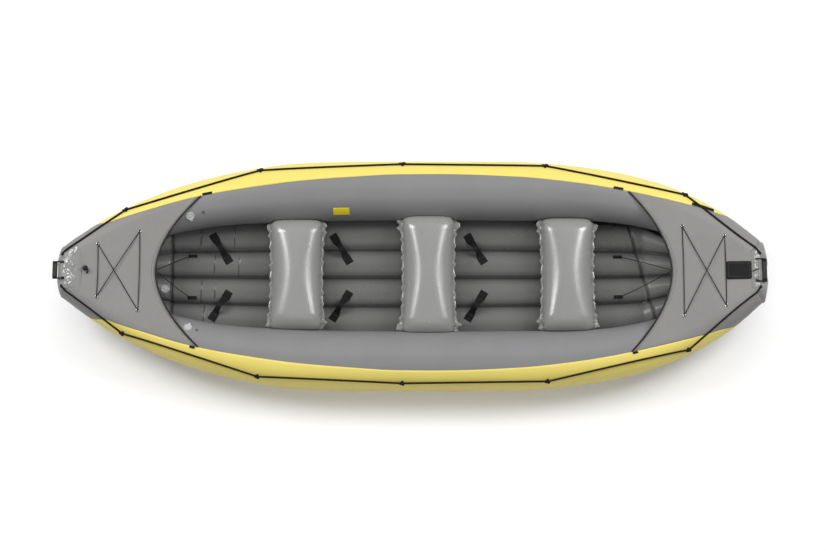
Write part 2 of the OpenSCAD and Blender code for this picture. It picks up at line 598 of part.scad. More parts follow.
// The grip's centre, out from the hinge and down from it
bow_grip_out = hull_l / 2 + handle_reach - grip_w / 2 + hinge_at(-1)[0];
bow_grip_drop = 6;
stern_grip_out = 52;
stern_grip_drop = 20;
function grip_out(end) = end < 0 ? bow_grip_out : stern_grip_out;
function grip_drop(end) = end < 0 ? bow_grip_drop : stern_grip_drop;
module handle(end, $fn = 16) color(webbing_black) {
    half = grip_of(end) / 2;
    translate(hinge_at(end)) {
        for (side = [-1, 1])
            translate([0, side * (half - eye_w / 2), 0]) rotate([90, 0, 0]) difference() {
                hull() {
                    cylinder(r = eye_r, h = eye_w, center = true);
                    translate([end * grip_out(end), -grip_drop(end), 0])
                        cylinder(r = eye_r / 2, h = eye_w, center = true);
                }
                cylinder(r = bar_r + gap, h = 2 * eye_w, center = true);
            }
        translate([end * grip_out(end), 0, -grip_drop(end)])
            hull() for (k = [-1, 1])
                translate([k * (grip_w - eye_r) / 2, 0, 0]) rotate([90, 0, 0])
                cylinder(r = eye_r / 2, h = 2 * half, center = true);
    }
}
module handle_bow() handle(-1);
module handle_stern() handle(1);

// A plate on the nose with a lug at each end, and a bar out of each lug into the handle's eye
module handle_anchor(end) color(webbing_black) {
    lug_y = grip_of(end) / 2 - eye_w - gap;
    translate(hinge_at(end)) rotate([0, -deck_pitch(hinge_of(end)[0]), 0]) {
        for (side = [-1, 1]) {
            translate([0, side * (lug_y - 1), 0]) rotate([-90 * side, 0, 0])
                cylinder(r = bar_r, h = eye_w + 1);
            translate([-eye_r, side > 0 ? lug_y - lug_w : -lug_y, -bar_h])
                cube([2 * eye_r, lug_w, bar_h + eye_r]);
        }
        translate([0, 0, -bar_h + anchor_plate_t / 2])
            cube([3 * eye_r, 2 * lug_y, anchor_plate_t], center = true);
    }
}
module handle_anchor_bow() handle_anchor(-1);
module handle_anchor_stern() handle_anchor(1);

// Foot straps: arched webbing over the outer channels, between two patches each
strap_xs = [-1245, -466, 407] * along;
strap_half = [44, 72];
strap_steps = 16;
strap_patch_half = [32, 30];
strap_lean = 24;
strap_patch_t = 2;
// Share of the webbing that is sewn down flat at each end
strap_sewn = 1 / 8;
function strap_end(x, side, k) = [x + k * strap_half[0], side * (cell_w - k * strap_half[1])];
function strap_spot(x, side, t) = lerp(strap_end(x, side, -1), strap_end(x, side, 1), t);
function strap_bearing(side) = atan2(-side * strap_half[1], strap_half[0]);
function strap_floor(x, side, t) = let (p = strap_spot(x, side, t)) floor_top(p[0], p[1]);
function strap_free(t) = min(1, max(0, (t - strap_sewn) / (1 - 2 * strap_sewn)));
function strap_ground(x, side, t) = t < strap_sewn || t > 1 - strap_sewn
    ? strap_floor(x, side, t)
    : lerp(strap_floor(x, side, strap_sewn), strap_floor(x, side, 1 - strap_sewn), strap_free(t));
strap_off = lay + strap_patch_t + web_t / 2 + 3 * gap;
function strap_path(x, side) = [for (i = [0:strap_steps])
    let (t = i / strap_steps, p = strap_spot(x, side, t))
    [p[0], p[1], strap_ground(x, side, t) + strap_off + strap_rise * (1 - cos(360 * strap_free(t))) / 2]];
// The floor's cross slope under an end of the webbing
function strap_roll(x, side, t) = let (p = strap_spot(x, side, t), a = strap_bearing(side) + 90,
        q = strap_w / 2 * [cos(a), sin(a)])
    -atan((floor_top(p[0] + q[0], p[1] + q[1]) - floor_top(p[0] - q[0], p[1] - q[1])) / strap_w);
// The webbing follows the floor at both ends, and leans over at the top of its arch
function strap_twist(x, side, t) = lerp(strap_roll(x, side, min(t, strap_sewn)),
        strap_roll(x, side, max(t, 1 - strap_sewn)), strap_free(t))
    + strap_lean * (1 - cos(360 * strap_free(t))) / 2;
module foot_strap(x, side) color(webbing_black)
    loft(swept(strap_path(x, side), flat_profile(strap_w, web_t),
        [for (i = [0:strap_steps]) strap_twist(x, side, i / strap_steps)]));
module foot_strap_front_port() foot_strap(strap_xs[0], -1);
module foot_strap_front_starboard() foot_strap(strap_xs[0], 1);
module foot_strap_middle_port() foot_strap(strap_xs[1], -1);
module foot_strap_middle_starboard() foot_strap(strap_xs[1], 1);
module foot_strap_rear_port() foot_strap(strap_xs[2], -1);
module foot_strap_rear_starboard() foot_strap(strap_xs[2], 1);
module foot_strap_patches() color(floor_grey)
    for (x = strap_xs, side = [-1, 1], k = [-1, 1])
        floor_patch(strap_end(x, side, k), strap_patch_half, strap_bearing(side), strap_patch_t, 3);

// Air valves: a flanged cup in the chamber, a plunger that is pushed in, and a cap on a hinge
flange_t = 3;
cup_r = 21;
cup_h = 30;
bore_r = 15;
guide_r = 4;
guide_t = 4;
head_r = 12;
head_t = 4;
head_z = -10;
cap_r = 25;
cap_t = 8;
cap_plug_r = bore_r - 0.6;
cap_plug_h = 2;
valve_hinge_r = valve_r + 3;
valve_pin_r = 1.6;
valve_knuckle_r = 3.6;
valve_knuckle_l = 12;
valve_hinge_z = flange_t + valve_knuckle_r + gap;
hull_valve_x = -1435 * along;
hull_valve_angle = -33;
floor_valve = [-1600 * along, -85];
valve_sunk = 2;
module at_hull_valve(side)
    translate(tube_point(hull_valve_x, side, hull_valve_angle, -valve_sunk))
    turn_to(tube_out(hull_valve_x, side, hull_valve_angle)) children();
module at_floor_valve()
    translate(floor_point(floor_valve[0], floor_valve[1], -valve_sunk))
    rotate([0, fold_angle, 0]) children();
// The chamber is cut away for the cup, and level under the flange
module valve_socket() {
    translate([0, 0, -cup_h - plunger_travel - 2]) cylinder(r = cup_r + gap, h = cup_h + plunger_travel + 3);
    cylinder(r = valve_hinge_r + valve_knuckle_r + 2, h = 4 * flange_t);
}
module valve_body() color(valve_white) {
    difference() {
        union() {
            translate([0, 0, gap]) cylinder(r = valve_r, h = flange_t - gap);
            translate([0, 0, -cup_h]) cylinder(r = cup_r, h = cup_h + flange_t / 2);
        }
        translate([0, 0, -cup_h + guide_t]) cylinder(r = bore_r, h = 2 * cup_h);
        translate([0, 0, -2 * cup_h]) cylinder(r = guide_r + gap, h = 2 * cup_h);
        for (a = [0:120:240]) rotate(a) translate([(guide_r + bore_r) / 2, 0, -2 * cup_h])
            cylinder(r = 3.5, h = 2 * cup_h);
    }
    // Hinge pin between two lugs
    for (k = [-1, 1]) translate([valve_hinge_r, k * (valve_knuckle_l / 2 + 2), 0]) {
        translate([-valve_r / 5, -1.5, gap]) cube([valve_r / 5, 3, valve_hinge_z - gap]);
        translate([0, 0, valve_hinge_z]) rotate([90, 0, 0])
            cylinder(r = valve_knuckle_r, h = 3, center = true);
    }
    translate([valve_hinge_r, 0, valve_hinge_z]) rotate([90, 0, 0])
        cylinder(r = valve_pin_r, h = valve_knuckle_l + 5, center = true);
}
module valve_plunger() color(eyelet_silver) {
    translate([0, 0, head_z - head_t]) cylinder(r = head_r, h = head_t);
    translate([0, 0, -cup_h - 1]) cylinder(r = guide_r, h = cup_h + 1 + head_z);
}
module valve_cap() color(valve_white) {
    translate([0, 0, flange_t + gap]) {
        cylinder(r = cap_r, h = cap_t);
        translate([0, 0, -cap_plug_h]) cylinder(r = cap_plug_r, h = cap_plug_h + 1);
    }
    difference() {
        union() {
            translate([valve_hinge_r, 0, valve_hinge_z]) rotate([90, 0, 0])
                cylinder(r = valve_knuckle_r, h = valve_knuckle_l, center = true);
            translate([cap_r / 2, -valve_knuckle_l / 2, valve_hinge_z])
                cube([valve_hinge_r - cap_r / 2, valve_knuckle_l, valve_knuckle_r]);
        }
        translate([valve_hinge_r, 0, valve_hinge_z]) rotate([90, 0, 0])
            cylinder(r = valve_pin_r + gap, h = 2 * valve_knuckle_l, center = true);
    }
}
module valve_body_port() at_hull_valve(-1) valve_body();
module valve_cap_port() at_hull_valve(-1) valve_cap();
module valve_plunger_port() at_hull_valve(-1) valve_plunger();
module valve_body_starboard() at_hull_valve(1) valve_body();
module valve_cap_starboard() at_hull_valve(1) valve_cap();
module valve_plunger_starboard() at_hull_valve(1) valve_plunger();
module valve_body_floor() at_floor_valve() valve_body();
module valve_cap_floor() at_floor_valve() valve_cap();
module valve_plunger_floor() at_floor_valve() valve_plunger();

// Toggle on the bow deck
toggle_at = [-2056 * along, 10];
toggle_r = 17;
module bow_toggle() color(webbing_black)
    translate([toggle_at[0], toggle_at[1], deck_z(toggle_at[0], lay + skin_t + gap)])
    rotate([0, -deck_pitch(toggle_at[0]), 0]) {
        cylinder(r = toggle_r / 2, h = toggle_r);
        translate([0, 0, toggle_r]) sphere(r = toggle_r);
    }

// Flat pocket on the stern deck, with a flap that opens from its forward edge
pocket_x = 1967 * along;
pocket_l = 157 * along;
pocket_w = 112;
pocket_t = 3;
flap_t = 3;
flap_inset = 4;
pocket_steps = 5;
function pocket_grid(inset, off) = [for (i = [0:pocket_steps]) [for (y = [-1, 1])
    let (s = lerp(pocket_x + inset, pocket_x + pocket_l - inset, i / pocket_steps))
    [s, y * (pocket_w / 2 - inset), deck_z(s, off)]]];
pocket_off = lay + skin_t + gap;
flap_off = pocket_off + pocket_t + 2 * gap;
module stern_pocket() color(webbing_black)
    sheet(pocket_grid(0, pocket_off + pocket_t), pocket_grid(0, pocket_off));
// The flap folds about its forward edge, which is rounded
flap_fold_x = pocket_x + flap_inset;
module stern_pocket_flap() color(webbing_black) {
    sheet(pocket_grid(flap_inset, flap_off + flap_t), pocket_grid(flap_inset, flap_off));
    translate([flap_fold_x, 0, deck_z(flap_fold_x, flap_off + flap_t / 2)]) rotate([90, 0, 0])
        cylinder(r = flap_t / 2, h = pocket_w - 2 * flap_inset, center = true);
}

// Plain label on the inner side of the starboard tube
label_x = -461 * along;
label_half = [52, 9];
label_angle = -53;
function label_grid(off) = [for (i = [0:2]) [for (j = [0:2])
    tube_point(label_x + label_half[0] * (i - 1), 1, label_angle + label_half[1] * (j - 1), off)]];
module tube_label() color(panel_yellow) sheet(label_grid(lay + skin_t), label_grid(lay));

side_tube_port();
side_tube_starboard();
side_panel_port();
side_panel_starboard();
nose_patch_bow();
nose_patch_stern();
hull_bottom();
floor_cell_port_outer();
floor_cell_port_inner();
floor_cell_starboard_inner();
floor_cell_starboard_outer();
side_tube_valve_port();
side_tube_valve_starboard();
floor_cell_valve();
seat_front();
seat_middle();
seat_rear();
seat_valve_front();
seat_valve_middle();
seat_valve_rear();
spray_deck_bow();
spray_deck_stern();
deck_piping_bow();
deck_piping_stern();
deck_eyelets_bow();
deck_eyelets_stern();
deck_lacing_bow();
deck_lacing_stern();
deck_tensioner_bow();
deck_tensioner_stern();
tension_tabs_bow();
tension_tabs_stern();
lifeline_port();
lifeline_starboard();
lifeline_anchors_port();
lifeline_anchors_starboard();
handle_bow();
handle_stern();
handle_anchor_bow();
handle_anchor_stern();
foot_strap_front_port();
foot_strap_front_starboard();
foot_strap_middle_port();
foot_strap_middle_starboard();
foot_strap_rear_port();
foot_strap_rear_starboard();
foot_strap_patches();
valve_body_port();
valve_cap_port();
valve_plunger_port();
valve_body_starboard();
valve_cap_starboard();
valve_plunger_starboard();
valve_body_floor();
valve_cap_floor();
valve_plunger_floor();
bow_toggle();
stern_pocket();
stern_pocket_flap();
tube_label();
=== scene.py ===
"""Looks of the inflatable three-seat canoe raft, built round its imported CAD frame.
Metres. +X runs to the stern, +Y to starboard, +Z up. The origin is on the ground amidships."""

import math

import bmesh
import bpy
import numpy as np
from mathutils import Matrix, Vector, noise


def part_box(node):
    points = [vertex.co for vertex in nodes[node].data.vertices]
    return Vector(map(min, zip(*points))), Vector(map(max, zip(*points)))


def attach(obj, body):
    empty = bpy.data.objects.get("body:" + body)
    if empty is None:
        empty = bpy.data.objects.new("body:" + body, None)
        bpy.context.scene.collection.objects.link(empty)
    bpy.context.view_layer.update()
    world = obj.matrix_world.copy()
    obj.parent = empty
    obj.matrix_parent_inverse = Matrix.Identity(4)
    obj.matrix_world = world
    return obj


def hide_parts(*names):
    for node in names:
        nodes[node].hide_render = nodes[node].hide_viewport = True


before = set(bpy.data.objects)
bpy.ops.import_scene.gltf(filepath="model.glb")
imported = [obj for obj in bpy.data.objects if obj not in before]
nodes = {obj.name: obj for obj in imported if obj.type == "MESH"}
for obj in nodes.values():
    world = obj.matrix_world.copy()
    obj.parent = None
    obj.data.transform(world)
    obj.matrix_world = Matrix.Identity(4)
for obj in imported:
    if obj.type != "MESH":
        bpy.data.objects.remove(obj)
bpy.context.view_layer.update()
scene = bpy.context.scene

SIDES = (("port", -1), ("starboard", 1))
ENDS = (("bow", -1), ("stern", 1))

# Hull form, as in the CAD source
TUBE_R = 0.19
TUBE_Y0 = 0.552
TUBE_Z0 = 0.188375
WIDEST_X = 0.05
SHEER = 0.055
SHEER_X = 0.9
NOSE_PINCH = 0.45
NOSE_Y = 0.0002
BOW = {"end": 2.155, "tip": 0.095, "taper": 0.8, "plan": 2.320, "power": 3.43}
STERN = {"end": 2.130, "tip": 0.120, "taper": 0.72, "plan": 2.185, "power": 4.25}
FORMS = {-1: BOW, 1: STERN}
SKIN = 0.0014


def lerp(a, b, t):
    return a + (b - a) * t


def clamp(t):
    return np.clip(t, 0.0, 1.0)


def smooth(t):
    t = clamp(t)
    return t * t * (3 - 2 * t)


def unit(v):
    return v / np.linalg.norm(v, axis=-1, keepdims=True)


def bell(distance, width):
    """1 in the middle, falling off evenly over a width."""
    return np.exp(-((distance / width) ** 2))


def xyz(*coordinates):
    return np.stack(np.broadcast_arrays(*coordinates), -1)


def floats(*values):
    return np.broadcast_arrays(*[np.asarray(v, float) for v in values])


def by_end(s, key):
    return np.where(s < 0, BOW[key], STERN[key])


def tube_form(s):
    """Radius, distance from the centreline, height of the core and plan angle of a tube at a station."""
    s = np.asarray(s, float)
    end, tip, taper = by_end(s, "end"), by_end(s, "tip"), by_end(s, "taper")
    aft = s > WIDEST_X
    plan = np.where(aft, STERN["plan"], BOW["plan"])
    power = np.where(aft, STERN["power"], BOW["power"])
    held = np.sign(s) * np.minimum(np.abs(s), end)
    over = clamp((np.abs(s) - end) / tip)
    k = np.abs(held - WIDEST_X) / plan
    full = lerp(TUBE_R, tip, np.maximum(0, np.abs(held) - taper) / (end - taper))
    rise = SHEER * (np.maximum(0, np.abs(held) - SHEER_X) / (end - SHEER_X)) ** 2
    r = full * np.sqrt(1 - over**2)
    y = TUBE_Y0 * (1 - k**power) * (1 - NOSE_PINCH * over)
    z = TUBE_Z0 + TUBE_R - full + rise
    slope = np.arctan(TUBE_Y0 * power / plan * k ** (power - 1))
    lean = np.where(aft, 1, -1) * slope * (1 - over)
    return r, y, z, lean


def tube_point(s, side, angle, off=0.0):
    """Point on a tube, an angle in degrees outboard of its top, off its surface."""
    s, angle = floats(s, angle)
    r, y, z, lean = tube_form(s)
    a = np.radians(angle)
    out = (r + off) * np.sin(a)
    return xyz(s + np.sin(lean) * out, side * (y + np.cos(lean) * out), z + (r + off) * np.cos(a))


def crest_z(s):
    r, _, z, _ = tube_form(s)
    return z + r


def on_deck(x, y, off):
    return x, y, float(crest_z(x)) + off


def crest_pitch(s, step=0.001):
    return math.atan((crest_z(s + step) - crest_z(s - step)) / (2 * step))


# Floor form, as in the CAD source
CELL_W = 0.187
CELL_ROUND = 0.6
FLOOR_T = 0.102
CHANNEL_D = 0.048
FLOOR_Z0 = 0.003
FLOOR_HALF = 0.40832
FLOOR_RISE = 0.048
FLOOR_RISE_X = 0.85
FLOOR_TAPER = 0.17
FLOOR_TAPER_POWER = 2.2
INNER_TAPER = 0.7
FOLDS = {-1: 1.5561, 1: 1.48005}
FOLD_L = 0.25
FOLD_TAPER = 0.45
FOLD_SLOPE = math.tan(math.radians(22))


def fold_at(s):
    return np.where(s < 0, FOLDS[-1], FOLDS[1])


def round_fold(s):
    """Station of the fold at this end, and how far a station lies past it and from amidships up to it."""
    fold = fold_at(s)
    reach = np.abs(s)
    return fold, np.maximum(0, reach - fold), np.minimum(reach, fold)


def floor_base(s):
    fold, past, before = round_fold(s)
    rise = FLOOR_RISE * (np.maximum(0, before - FLOOR_RISE_X) / (fold - FLOOR_RISE_X)) ** 2
    return FLOOR_Z0 + past * FOLD_SLOPE + rise


def floor_widths(s):
    """Half widths of the floor and of its inner pair of cells."""
    fold, past, before = round_fold(s)
    scale = (1 - FLOOR_TAPER * (before / fold) ** FLOOR_TAPER_POWER) * (1 - FOLD_TAPER * past / FOLD_L)
    return FLOOR_HALF * scale, CELL_W * lerp(1, scale, INNER_TAPER)


def floor_top(s, y):
    s, y = floats(s, np.abs(y))
    half, inner = floor_widths(s)
    t = np.where(y < inner, y / inner, clamp((y - inner) / (half - inner)))
    swell = np.maximum(0, np.sin(np.pi * t)) ** CELL_ROUND
    rim = np.sqrt(np.maximum(0, 1 - (2 * t - 1) ** 2))
    at_rim = (y > inner) & (t > 0.5)
    return floor_base(s) + np.where(at_rim, FLOOR_T / 2 * (1 + rim), FLOOR_T - CHANNEL_D * (1 - swell))


# Materials
WAVE_SCALE = 3.2


def node_material(name, roughness, metallic=0.0, specular=0.5):
    mat = bpy.data.materials.new(name)
    mat.use_nodes = True
    tree = mat.node_tree
    shader = tree.nodes["Principled BSDF"]
    shader.inputs["Roughness"].default_value = roughness
    shader.inputs["Metallic"].default_value = metallic
    shader.inputs["Specular IOR Level"].default_value = specular
    return mat, tree, shader


def add_node(tree, kind, inputs=None, **settings):
    node = tree.nodes.new("ShaderNode" + kind)
    for key, value in settings.items():
        setattr(node, key, value)
    for key, value in (inputs or {}).items():
        if isinstance(value, bpy.types.NodeSocket):
            tree.links.new(value, node.inputs[key])
        else:
            node.inputs[key].default_value = value
    return node


def mix_colour(tree, factor, a, b, mode="MIX"):
    inputs = {0: factor, 6: a, 7: b}
    return add_node(tree, "Mix", inputs, data_type="RGBA", blend_type=mode).outputs[2]


def linear(rgb):
    """Linear colour, with alpha, of an 8-bit sRGB colour."""
    shares = [c / 255 for c in rgb]
    return tuple(c / 12.92 if c <= 0.04045 else ((c + 0.055) / 1.055) ** 2.4 for c in shares) + (1.0,)


def scaled(colour, k):
    return tuple(min(1.0, c * k) for c in colour[:3]) + (1.0,)


def connect(tree, shader, colour, bump, gloss=None):
    tree.links.new(colour, shader.inputs["Base Color"])
    tree.links.new(bump.outputs["Normal"], shader.inputs["Normal"])
    if gloss:
        tree.links.new(gloss.outputs["Result"], shader.inputs["Roughness"])


def coated_fabric(name, rgb, roughness, mottle=0.06, grain=0.05, specular=0.5, dirt=0.0, painted_shading=False):
    """Coated fabric: a faint mottle, uneven gloss and the weave showing through the coat.
    With painted shading on, the mesh's shade values are multiplied into its colour: painted shade and painted
    light."""
    mat, tree, shader = node_material(name, roughness, specular=specular)
    at = add_node(tree, "TexCoord").outputs["Object"]
    broad = add_node(tree, "TexNoise", {"Vector": at, "Scale": 4.0, "Detail": 4.0})
    colour = linear(rgb)
    body = mix_colour(tree, broad.outputs["Fac"], scaled(colour, 1 - mottle), scaled(colour, 1 + mottle))
    fine = add_node(tree, "TexNoise", {"Vector": at, "Scale": 60.0, "Detail": 6.0})
    body = mix_colour(tree, 0.05 + dirt, body, fine.outputs["Color"], "SOFT_LIGHT")
    if painted_shading:
        # Painted shade and painted light, multiplied into the colour from the mesh's shade values
        shade = add_node(tree, "Attribute", attribute_name="shade").outputs["Color"]
        body = mix_colour(tree, 1.0, body, shade, "MULTIPLY")
    gloss = add_node(tree, "MapRange", {
        "Value": broad.outputs["Fac"], "From Min": 0.3, "From Max": 0.7,
        "To Min": roughness - 0.05, "To Max": roughness + 0.05})
    weave = add_node(tree, "TexVoronoi", {"Vector": at, "Scale": 620.0, "Randomness": 0.35})
    inputs = {"Height": weave.outputs["Distance"], "Strength": grain, "Distance": 0.0006}
    bump = add_node(tree, "Bump", inputs)
    bump = add_node(tree, "Bump", {"Height": fine.outputs["Fac"], "Strength": grain, "Distance": 0.002,
                                   "Normal": bump.outputs["Normal"]})
    connect(tree, shader, body, bump, gloss)
    return mat


def woven(name, rgb, pitch, roughness=0.75, slant=0.0, contrast=0.35):
    """Webbing, rope or cloth with its weave laid out in UV metres; slant turns it into a braid."""
    mat, tree, shader = node_material(name, roughness, specular=0.3)
    uv = add_node(tree, "TexCoord").outputs["UV"]
    colour = linear(rgb)
    heights = []
    for sign in (1, -1):
        turned = add_node(tree, "VectorRotate", {"Vector": uv, "Angle": sign * slant},
                          rotation_type="Z_AXIS")
        inputs = {"Vector": turned.outputs["Vector"], "Scale": 1 / pitch / WAVE_SCALE, "Distortion": 0.0}
        wave = add_node(tree, "TexWave", inputs, wave_profile="SIN",
                        bands_direction="X" if sign > 0 or slant else "Y")
        heights.append(wave.outputs["Fac"])
    knit = add_node(tree, "Math", {0: heights[0], 1: heights[1]}, operation="MULTIPLY").outputs[0]
    fuzz = add_node(tree, "TexNoise", {"Scale": 45.0, "Detail": 5.0})
    shade = mix_colour(tree, knit, scaled(colour, 1 - contrast), scaled(colour, 1 + contrast))
    shade = mix_colour(tree, 0.25, shade, fuzz.outputs["Color"], "SOFT_LIGHT")
    bump = add_node(tree, "Bump", {"Height": knit, "Strength": 0.5, "Distance": pitch / 4})
    connect(tree, shader, shade, bump)
    return mat


def moulded(name, rgb, roughness, metallic=0.0, specular=0.5, scratches=0.03):
    """Moulded plastic or plated metal with faint scuffs."""
    mat, tree, shader = node_material(name, roughness, metallic, specular)
    at = add_node(tree, "TexCoord").outputs["Object"]
    spots = add_node(tree, "TexNoise", {"Vector": at, "Scale": 120.0, "Detail": 6.0})
    colour = linear(rgb)
    body = mix_colour(tree, spots.outputs["Fac"], scaled(colour, 0.93), scaled(colour, 1.05))
    gloss = add_node(tree, "MapRange", {
        "Value": spots.outputs["Fac"], "To Min": roughness - scratches, "To Max": roughness + scratches})
    bump = add_node(tree, "Bump", {"Height": spots.outputs["Fac"], "Strength": 0.08, "Distance": 0.001})
    connect(tree, shader, body, bump, gloss)
    return mat


GREY = coated_fabric("hull_grey_coat", (129, 129, 130), 0.40)
NOSE = coated_fabric("nose_grey_coat", (136, 136, 134), 0.15, mottle=0.05, grain=0.03, specular=0.9)
YELLOW = coated_fabric("panel_yellow_coat", (233, 215, 114), 0.4, mottle=0.03)
# The floor's colour carries painted shade and painted light from its mesh's shade values
FLOOR = coated_fabric("floor_grey_coat", (102, 102, 101), 0.3, grain=0.06, painted_shading=True)
SEAT = coated_fabric("seat_vinyl", (142, 142, 140), 0.24, mottle=0.02, grain=0.015, specular=1.0)
DECK = coated_fabric("deck_cloth", (134, 133, 131), 0.5, mottle=0.08, grain=0.12, specular=0.3, dirt=0.04)
PLUG = moulded("plug_grey", (98, 98, 99), 0.4)
LABEL = coated_fabric("label_vinyl", (233, 214, 30), 0.5, mottle=0.02)
WEBBING = woven("webbing_black_weave", (27, 27, 28), 0.0024)
CLOTH = woven("pocket_cloth_weave", (32, 32, 33), 0.0016)
ROPE = woven("rope_black_braid", (28, 26, 24), 0.0045, slant=0.7)
CORD = woven("cord_black_braid", (34, 34, 34), 0.0022, slant=0.7)
TRIM = moulded("trim_black", (26, 26, 27), 0.45)
VALVE = moulded("valve_white", (182, 183, 182), 0.16)
STEM = moulded("valve_stem", (182, 184, 183), 0.3)
METAL = moulded("eyelet_plated", (208, 209, 211), 0.16, metallic=1.0)
THREAD = moulded("thread_grey", (70, 70, 71), 0.8)


# Meshes
RIM_R = 0.02


def link(obj):
    scene.collection.objects.link(obj)
    return obj


def piece(name, verts, faces, material, uvs, body="hull", replaced=(), shade=None, thickness=0.0):
    """A smooth mesh that rides on a body: a closed skin, or a sheet if it has a thickness.
    Each vertex has a pair of uvs and may have a shade value, a factor of painted shade or painted light on
    the colour."""
    mesh = bpy.data.meshes.new(name)
    mesh.from_pydata(verts.tolist(), [], faces)
    layer = mesh.uv_layers.new(name="metres")
    index = np.zeros(len(mesh.loops), int)
    mesh.loops.foreach_get("vertex_index", index)
    layer.data.foreach_set("uv", uvs[index].ravel())
    if shade is not None:
        layer = mesh.color_attributes.new("shade", "FLOAT_COLOR", "POINT")
        layer.data.foreach_set("color", np.repeat(shade, 4))
    if not thickness:
        bm = bmesh.new()
        bm.from_mesh(mesh)
        bmesh.ops.recalc_face_normals(bm, faces=bm.faces)
        bm.to_mesh(mesh)
        bm.free()
    mesh.shade_smooth()
    mesh.materials.append(material)
    obj = link(bpy.data.objects.new(name, mesh))
    if thickness:
        solid = obj.modifiers.new("thickness", "SOLIDIFY")
        solid.thickness = thickness
        solid.offset = 0
    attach(obj, body)
    if replaced:
        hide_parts(*replaced)
    return obj


def grid_faces(rows, columns, wrap=False):
    last = columns if wrap else columns - 1
    return [(i * columns + j, i * columns + (j + 1) % columns,
             (i + 1) * columns + (j + 1) % columns, (i + 1) * columns + j)
            for i in range(rows - 1) for j in range(last)]


def lengths(points, axis=0):
    """Metres from the first point to each, along an axis; the mean of what lies across it."""
    steps = np.linalg.norm(np.diff(points, axis=axis), axis=-1)
    return np.append(0, np.cumsum(steps if points.ndim == 2 else steps.mean(1 - axis)))


def net(u, v):
    return np.meshgrid(u, v, indexing="ij")


def grid_uvs(points):
    return xyz(*net(lengths(points, 0), lengths(points, 1))).reshape(-1, 2)


def sheet(name, points, material, thickness=SKIN, **kw):
    rows, columns = points.shape[:2]
    return piece(name, points.reshape(-1, 3), grid_faces(rows, columns), material, grid_uvs(points),
                 thickness=thickness, **kw)


def lofted(name, rings, material, **kw):
    """Closed skin through rings, with a point in the middle of each end."""
    rows, columns = rings.shape[:2]
    verts = np.concatenate([rings.reshape(-1, 3), rings[0].mean(0)[None], rings[-1].mean(0)[None]])
    faces = grid_faces(rows, columns, wrap=True)
    first, last = rows * columns, (rows - 1) * columns
    faces += [(first, (j + 1) % columns, j) for j in range(columns)]
    faces += [(first + 1, last + j, last + (j + 1) % columns) for j in range(columns)]
    flat = np.concatenate([grid_uvs(rings), [[0, 0], [0, 0]]])
    return piece(name, verts, faces, material, flat, **kw)


def spline(points, count):
    """Points evenly along a smooth curve through the given ones."""
    p = np.asarray(points, float)
    p = np.concatenate([[2 * p[0] - p[1]], p, [2 * p[-1] - p[-2]]])
    fine = []
    for i in range(1, len(p) - 2):
        t = np.linspace(0, 1, 24, endpoint=False)[:, None]
        a, b, c, d = p[i - 1 : i + 3]
        square, cube = 2 * a - 5 * b + 4 * c - d, 3 * b - 3 * c + d - a
        fine.append(0.5 * (2 * b + (c - a) * t + square * t**2 + cube * t**3))
    return even(np.concatenate(fine + [p[-2][None]]), count)


def even(points, count):
    step = lengths(points)
    at = np.linspace(0, step[-1], count)
    return xyz(*[np.interp(at, step, points[:, k]) for k in range(3)])


def swept_rings(path, profile, twist=0.0, up=(0, 0, 1)):
    """A profile along a path, square to it and turned by a twist in degrees."""
    heading = unit(np.gradient(path, axis=0))
    u = unit(np.cross(up, heading))
    v = np.cross(heading, u)
    w = np.radians(np.broadcast_to(twist, len(path)))[:, None, None]
    c, s = np.cos(w), np.sin(w)
    a, b = profile[:, :1], profile[:, 1:]
    return path[:, None] + (a * c + b * s) * u[:, None] + (b * c - a * s) * v[:, None]


def round_profile(r, sides=14):
    a = np.linspace(0, math.tau, sides, endpoint=False)
    return xyz(r * np.sin(a), r * np.cos(a))


def band_profile(width, t, sides=4):
    """Flat webbing with round edges."""
    a = np.radians(np.linspace(-90, 90, sides + 1))
    edge = xyz(width / 2 - t / 2 + t / 2 * np.cos(a), t / 2 * np.sin(a))
    inner = np.linspace(0.8, -0.8, 7)[:, None] * [width / 2, 0]
    return np.concatenate([edge, inner + [0, t / 2], -edge, -inner + [0, -t / 2]])


def rope(name, path, r, material, sides=14, **kw):
    return lofted(name, swept_rings(path, round_profile(r, sides)), material, **kw)


def band(name, path, width, t, material, twist=0.0, up=(0, 0, 1), **kw):
    return lofted(name, swept_rings(path, band_profile(width, t), twist, up), material, **kw)


def joined(name, parts, replaced):
    """One piece from several of one material."""
    obj = parts[0]
    bm = bmesh.new()
    for part in parts:
        bm.from_mesh(part.data)
    bm.to_mesh(obj.data)
    bm.free()
    for part in parts[1:]:
        bpy.data.objects.remove(part)
    obj.name = name
    obj.data.name = name
    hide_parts(*replaced)


def rough(points, scale, seed=0.0):
    """Smooth noise from -1 to 1 at each point."""
    moved = points.reshape(-1, 3) * scale + (seed, -seed, 0.0)
    return np.reshape([noise.noise(Vector(p)) for p in moved], points.shape[:-1])


def lathe(name, profile, place, material, sides=48, ribs=0, rib_d=0.0, **kw):
    """Turned piece from (radius, height) pairs; ribs are cut into its rim, outside RIM_R."""
    a = np.linspace(0, math.tau, sides, endpoint=False)
    rings = []
    for r, z in profile:
        wave = 1 - (rib_d / r * (0.5 + 0.5 * np.cos(ribs * a)) if ribs and r > RIM_R else 0)
        rings.append(xyz(r * wave * np.cos(a), r * wave * np.sin(a), z))
    m = np.array(place)
    return lofted(name, np.array(rings) @ m[:3, :3].T + m[:3, 3], material, **kw)


# Seam between the grey top of a tube and its yellow panel: stations, and degrees outboard of the top
SEAM = np.array([
    (-2.0, 45), (-1.9, 36), (-1.76, 22), (-1.65, 15), (-1.5, 12), (-1.3, 9.5), (-1.1, 8.5), (-0.9, 10),
    (-0.7, 13), (-0.4, 17.5), (-0.15, 22.5), (0.1, 23.3), (0.3, 22.8), (0.5, 20.5), (0.75, 17), (1.0, 12.5),
    (1.2, 9.5), (1.35, 8.5), (1.5, 10), (1.62, 15), (1.72, 22), (1.82, 34), (1.9, 48), (2.0, 60)])
SEAM_EVEN = 0.06


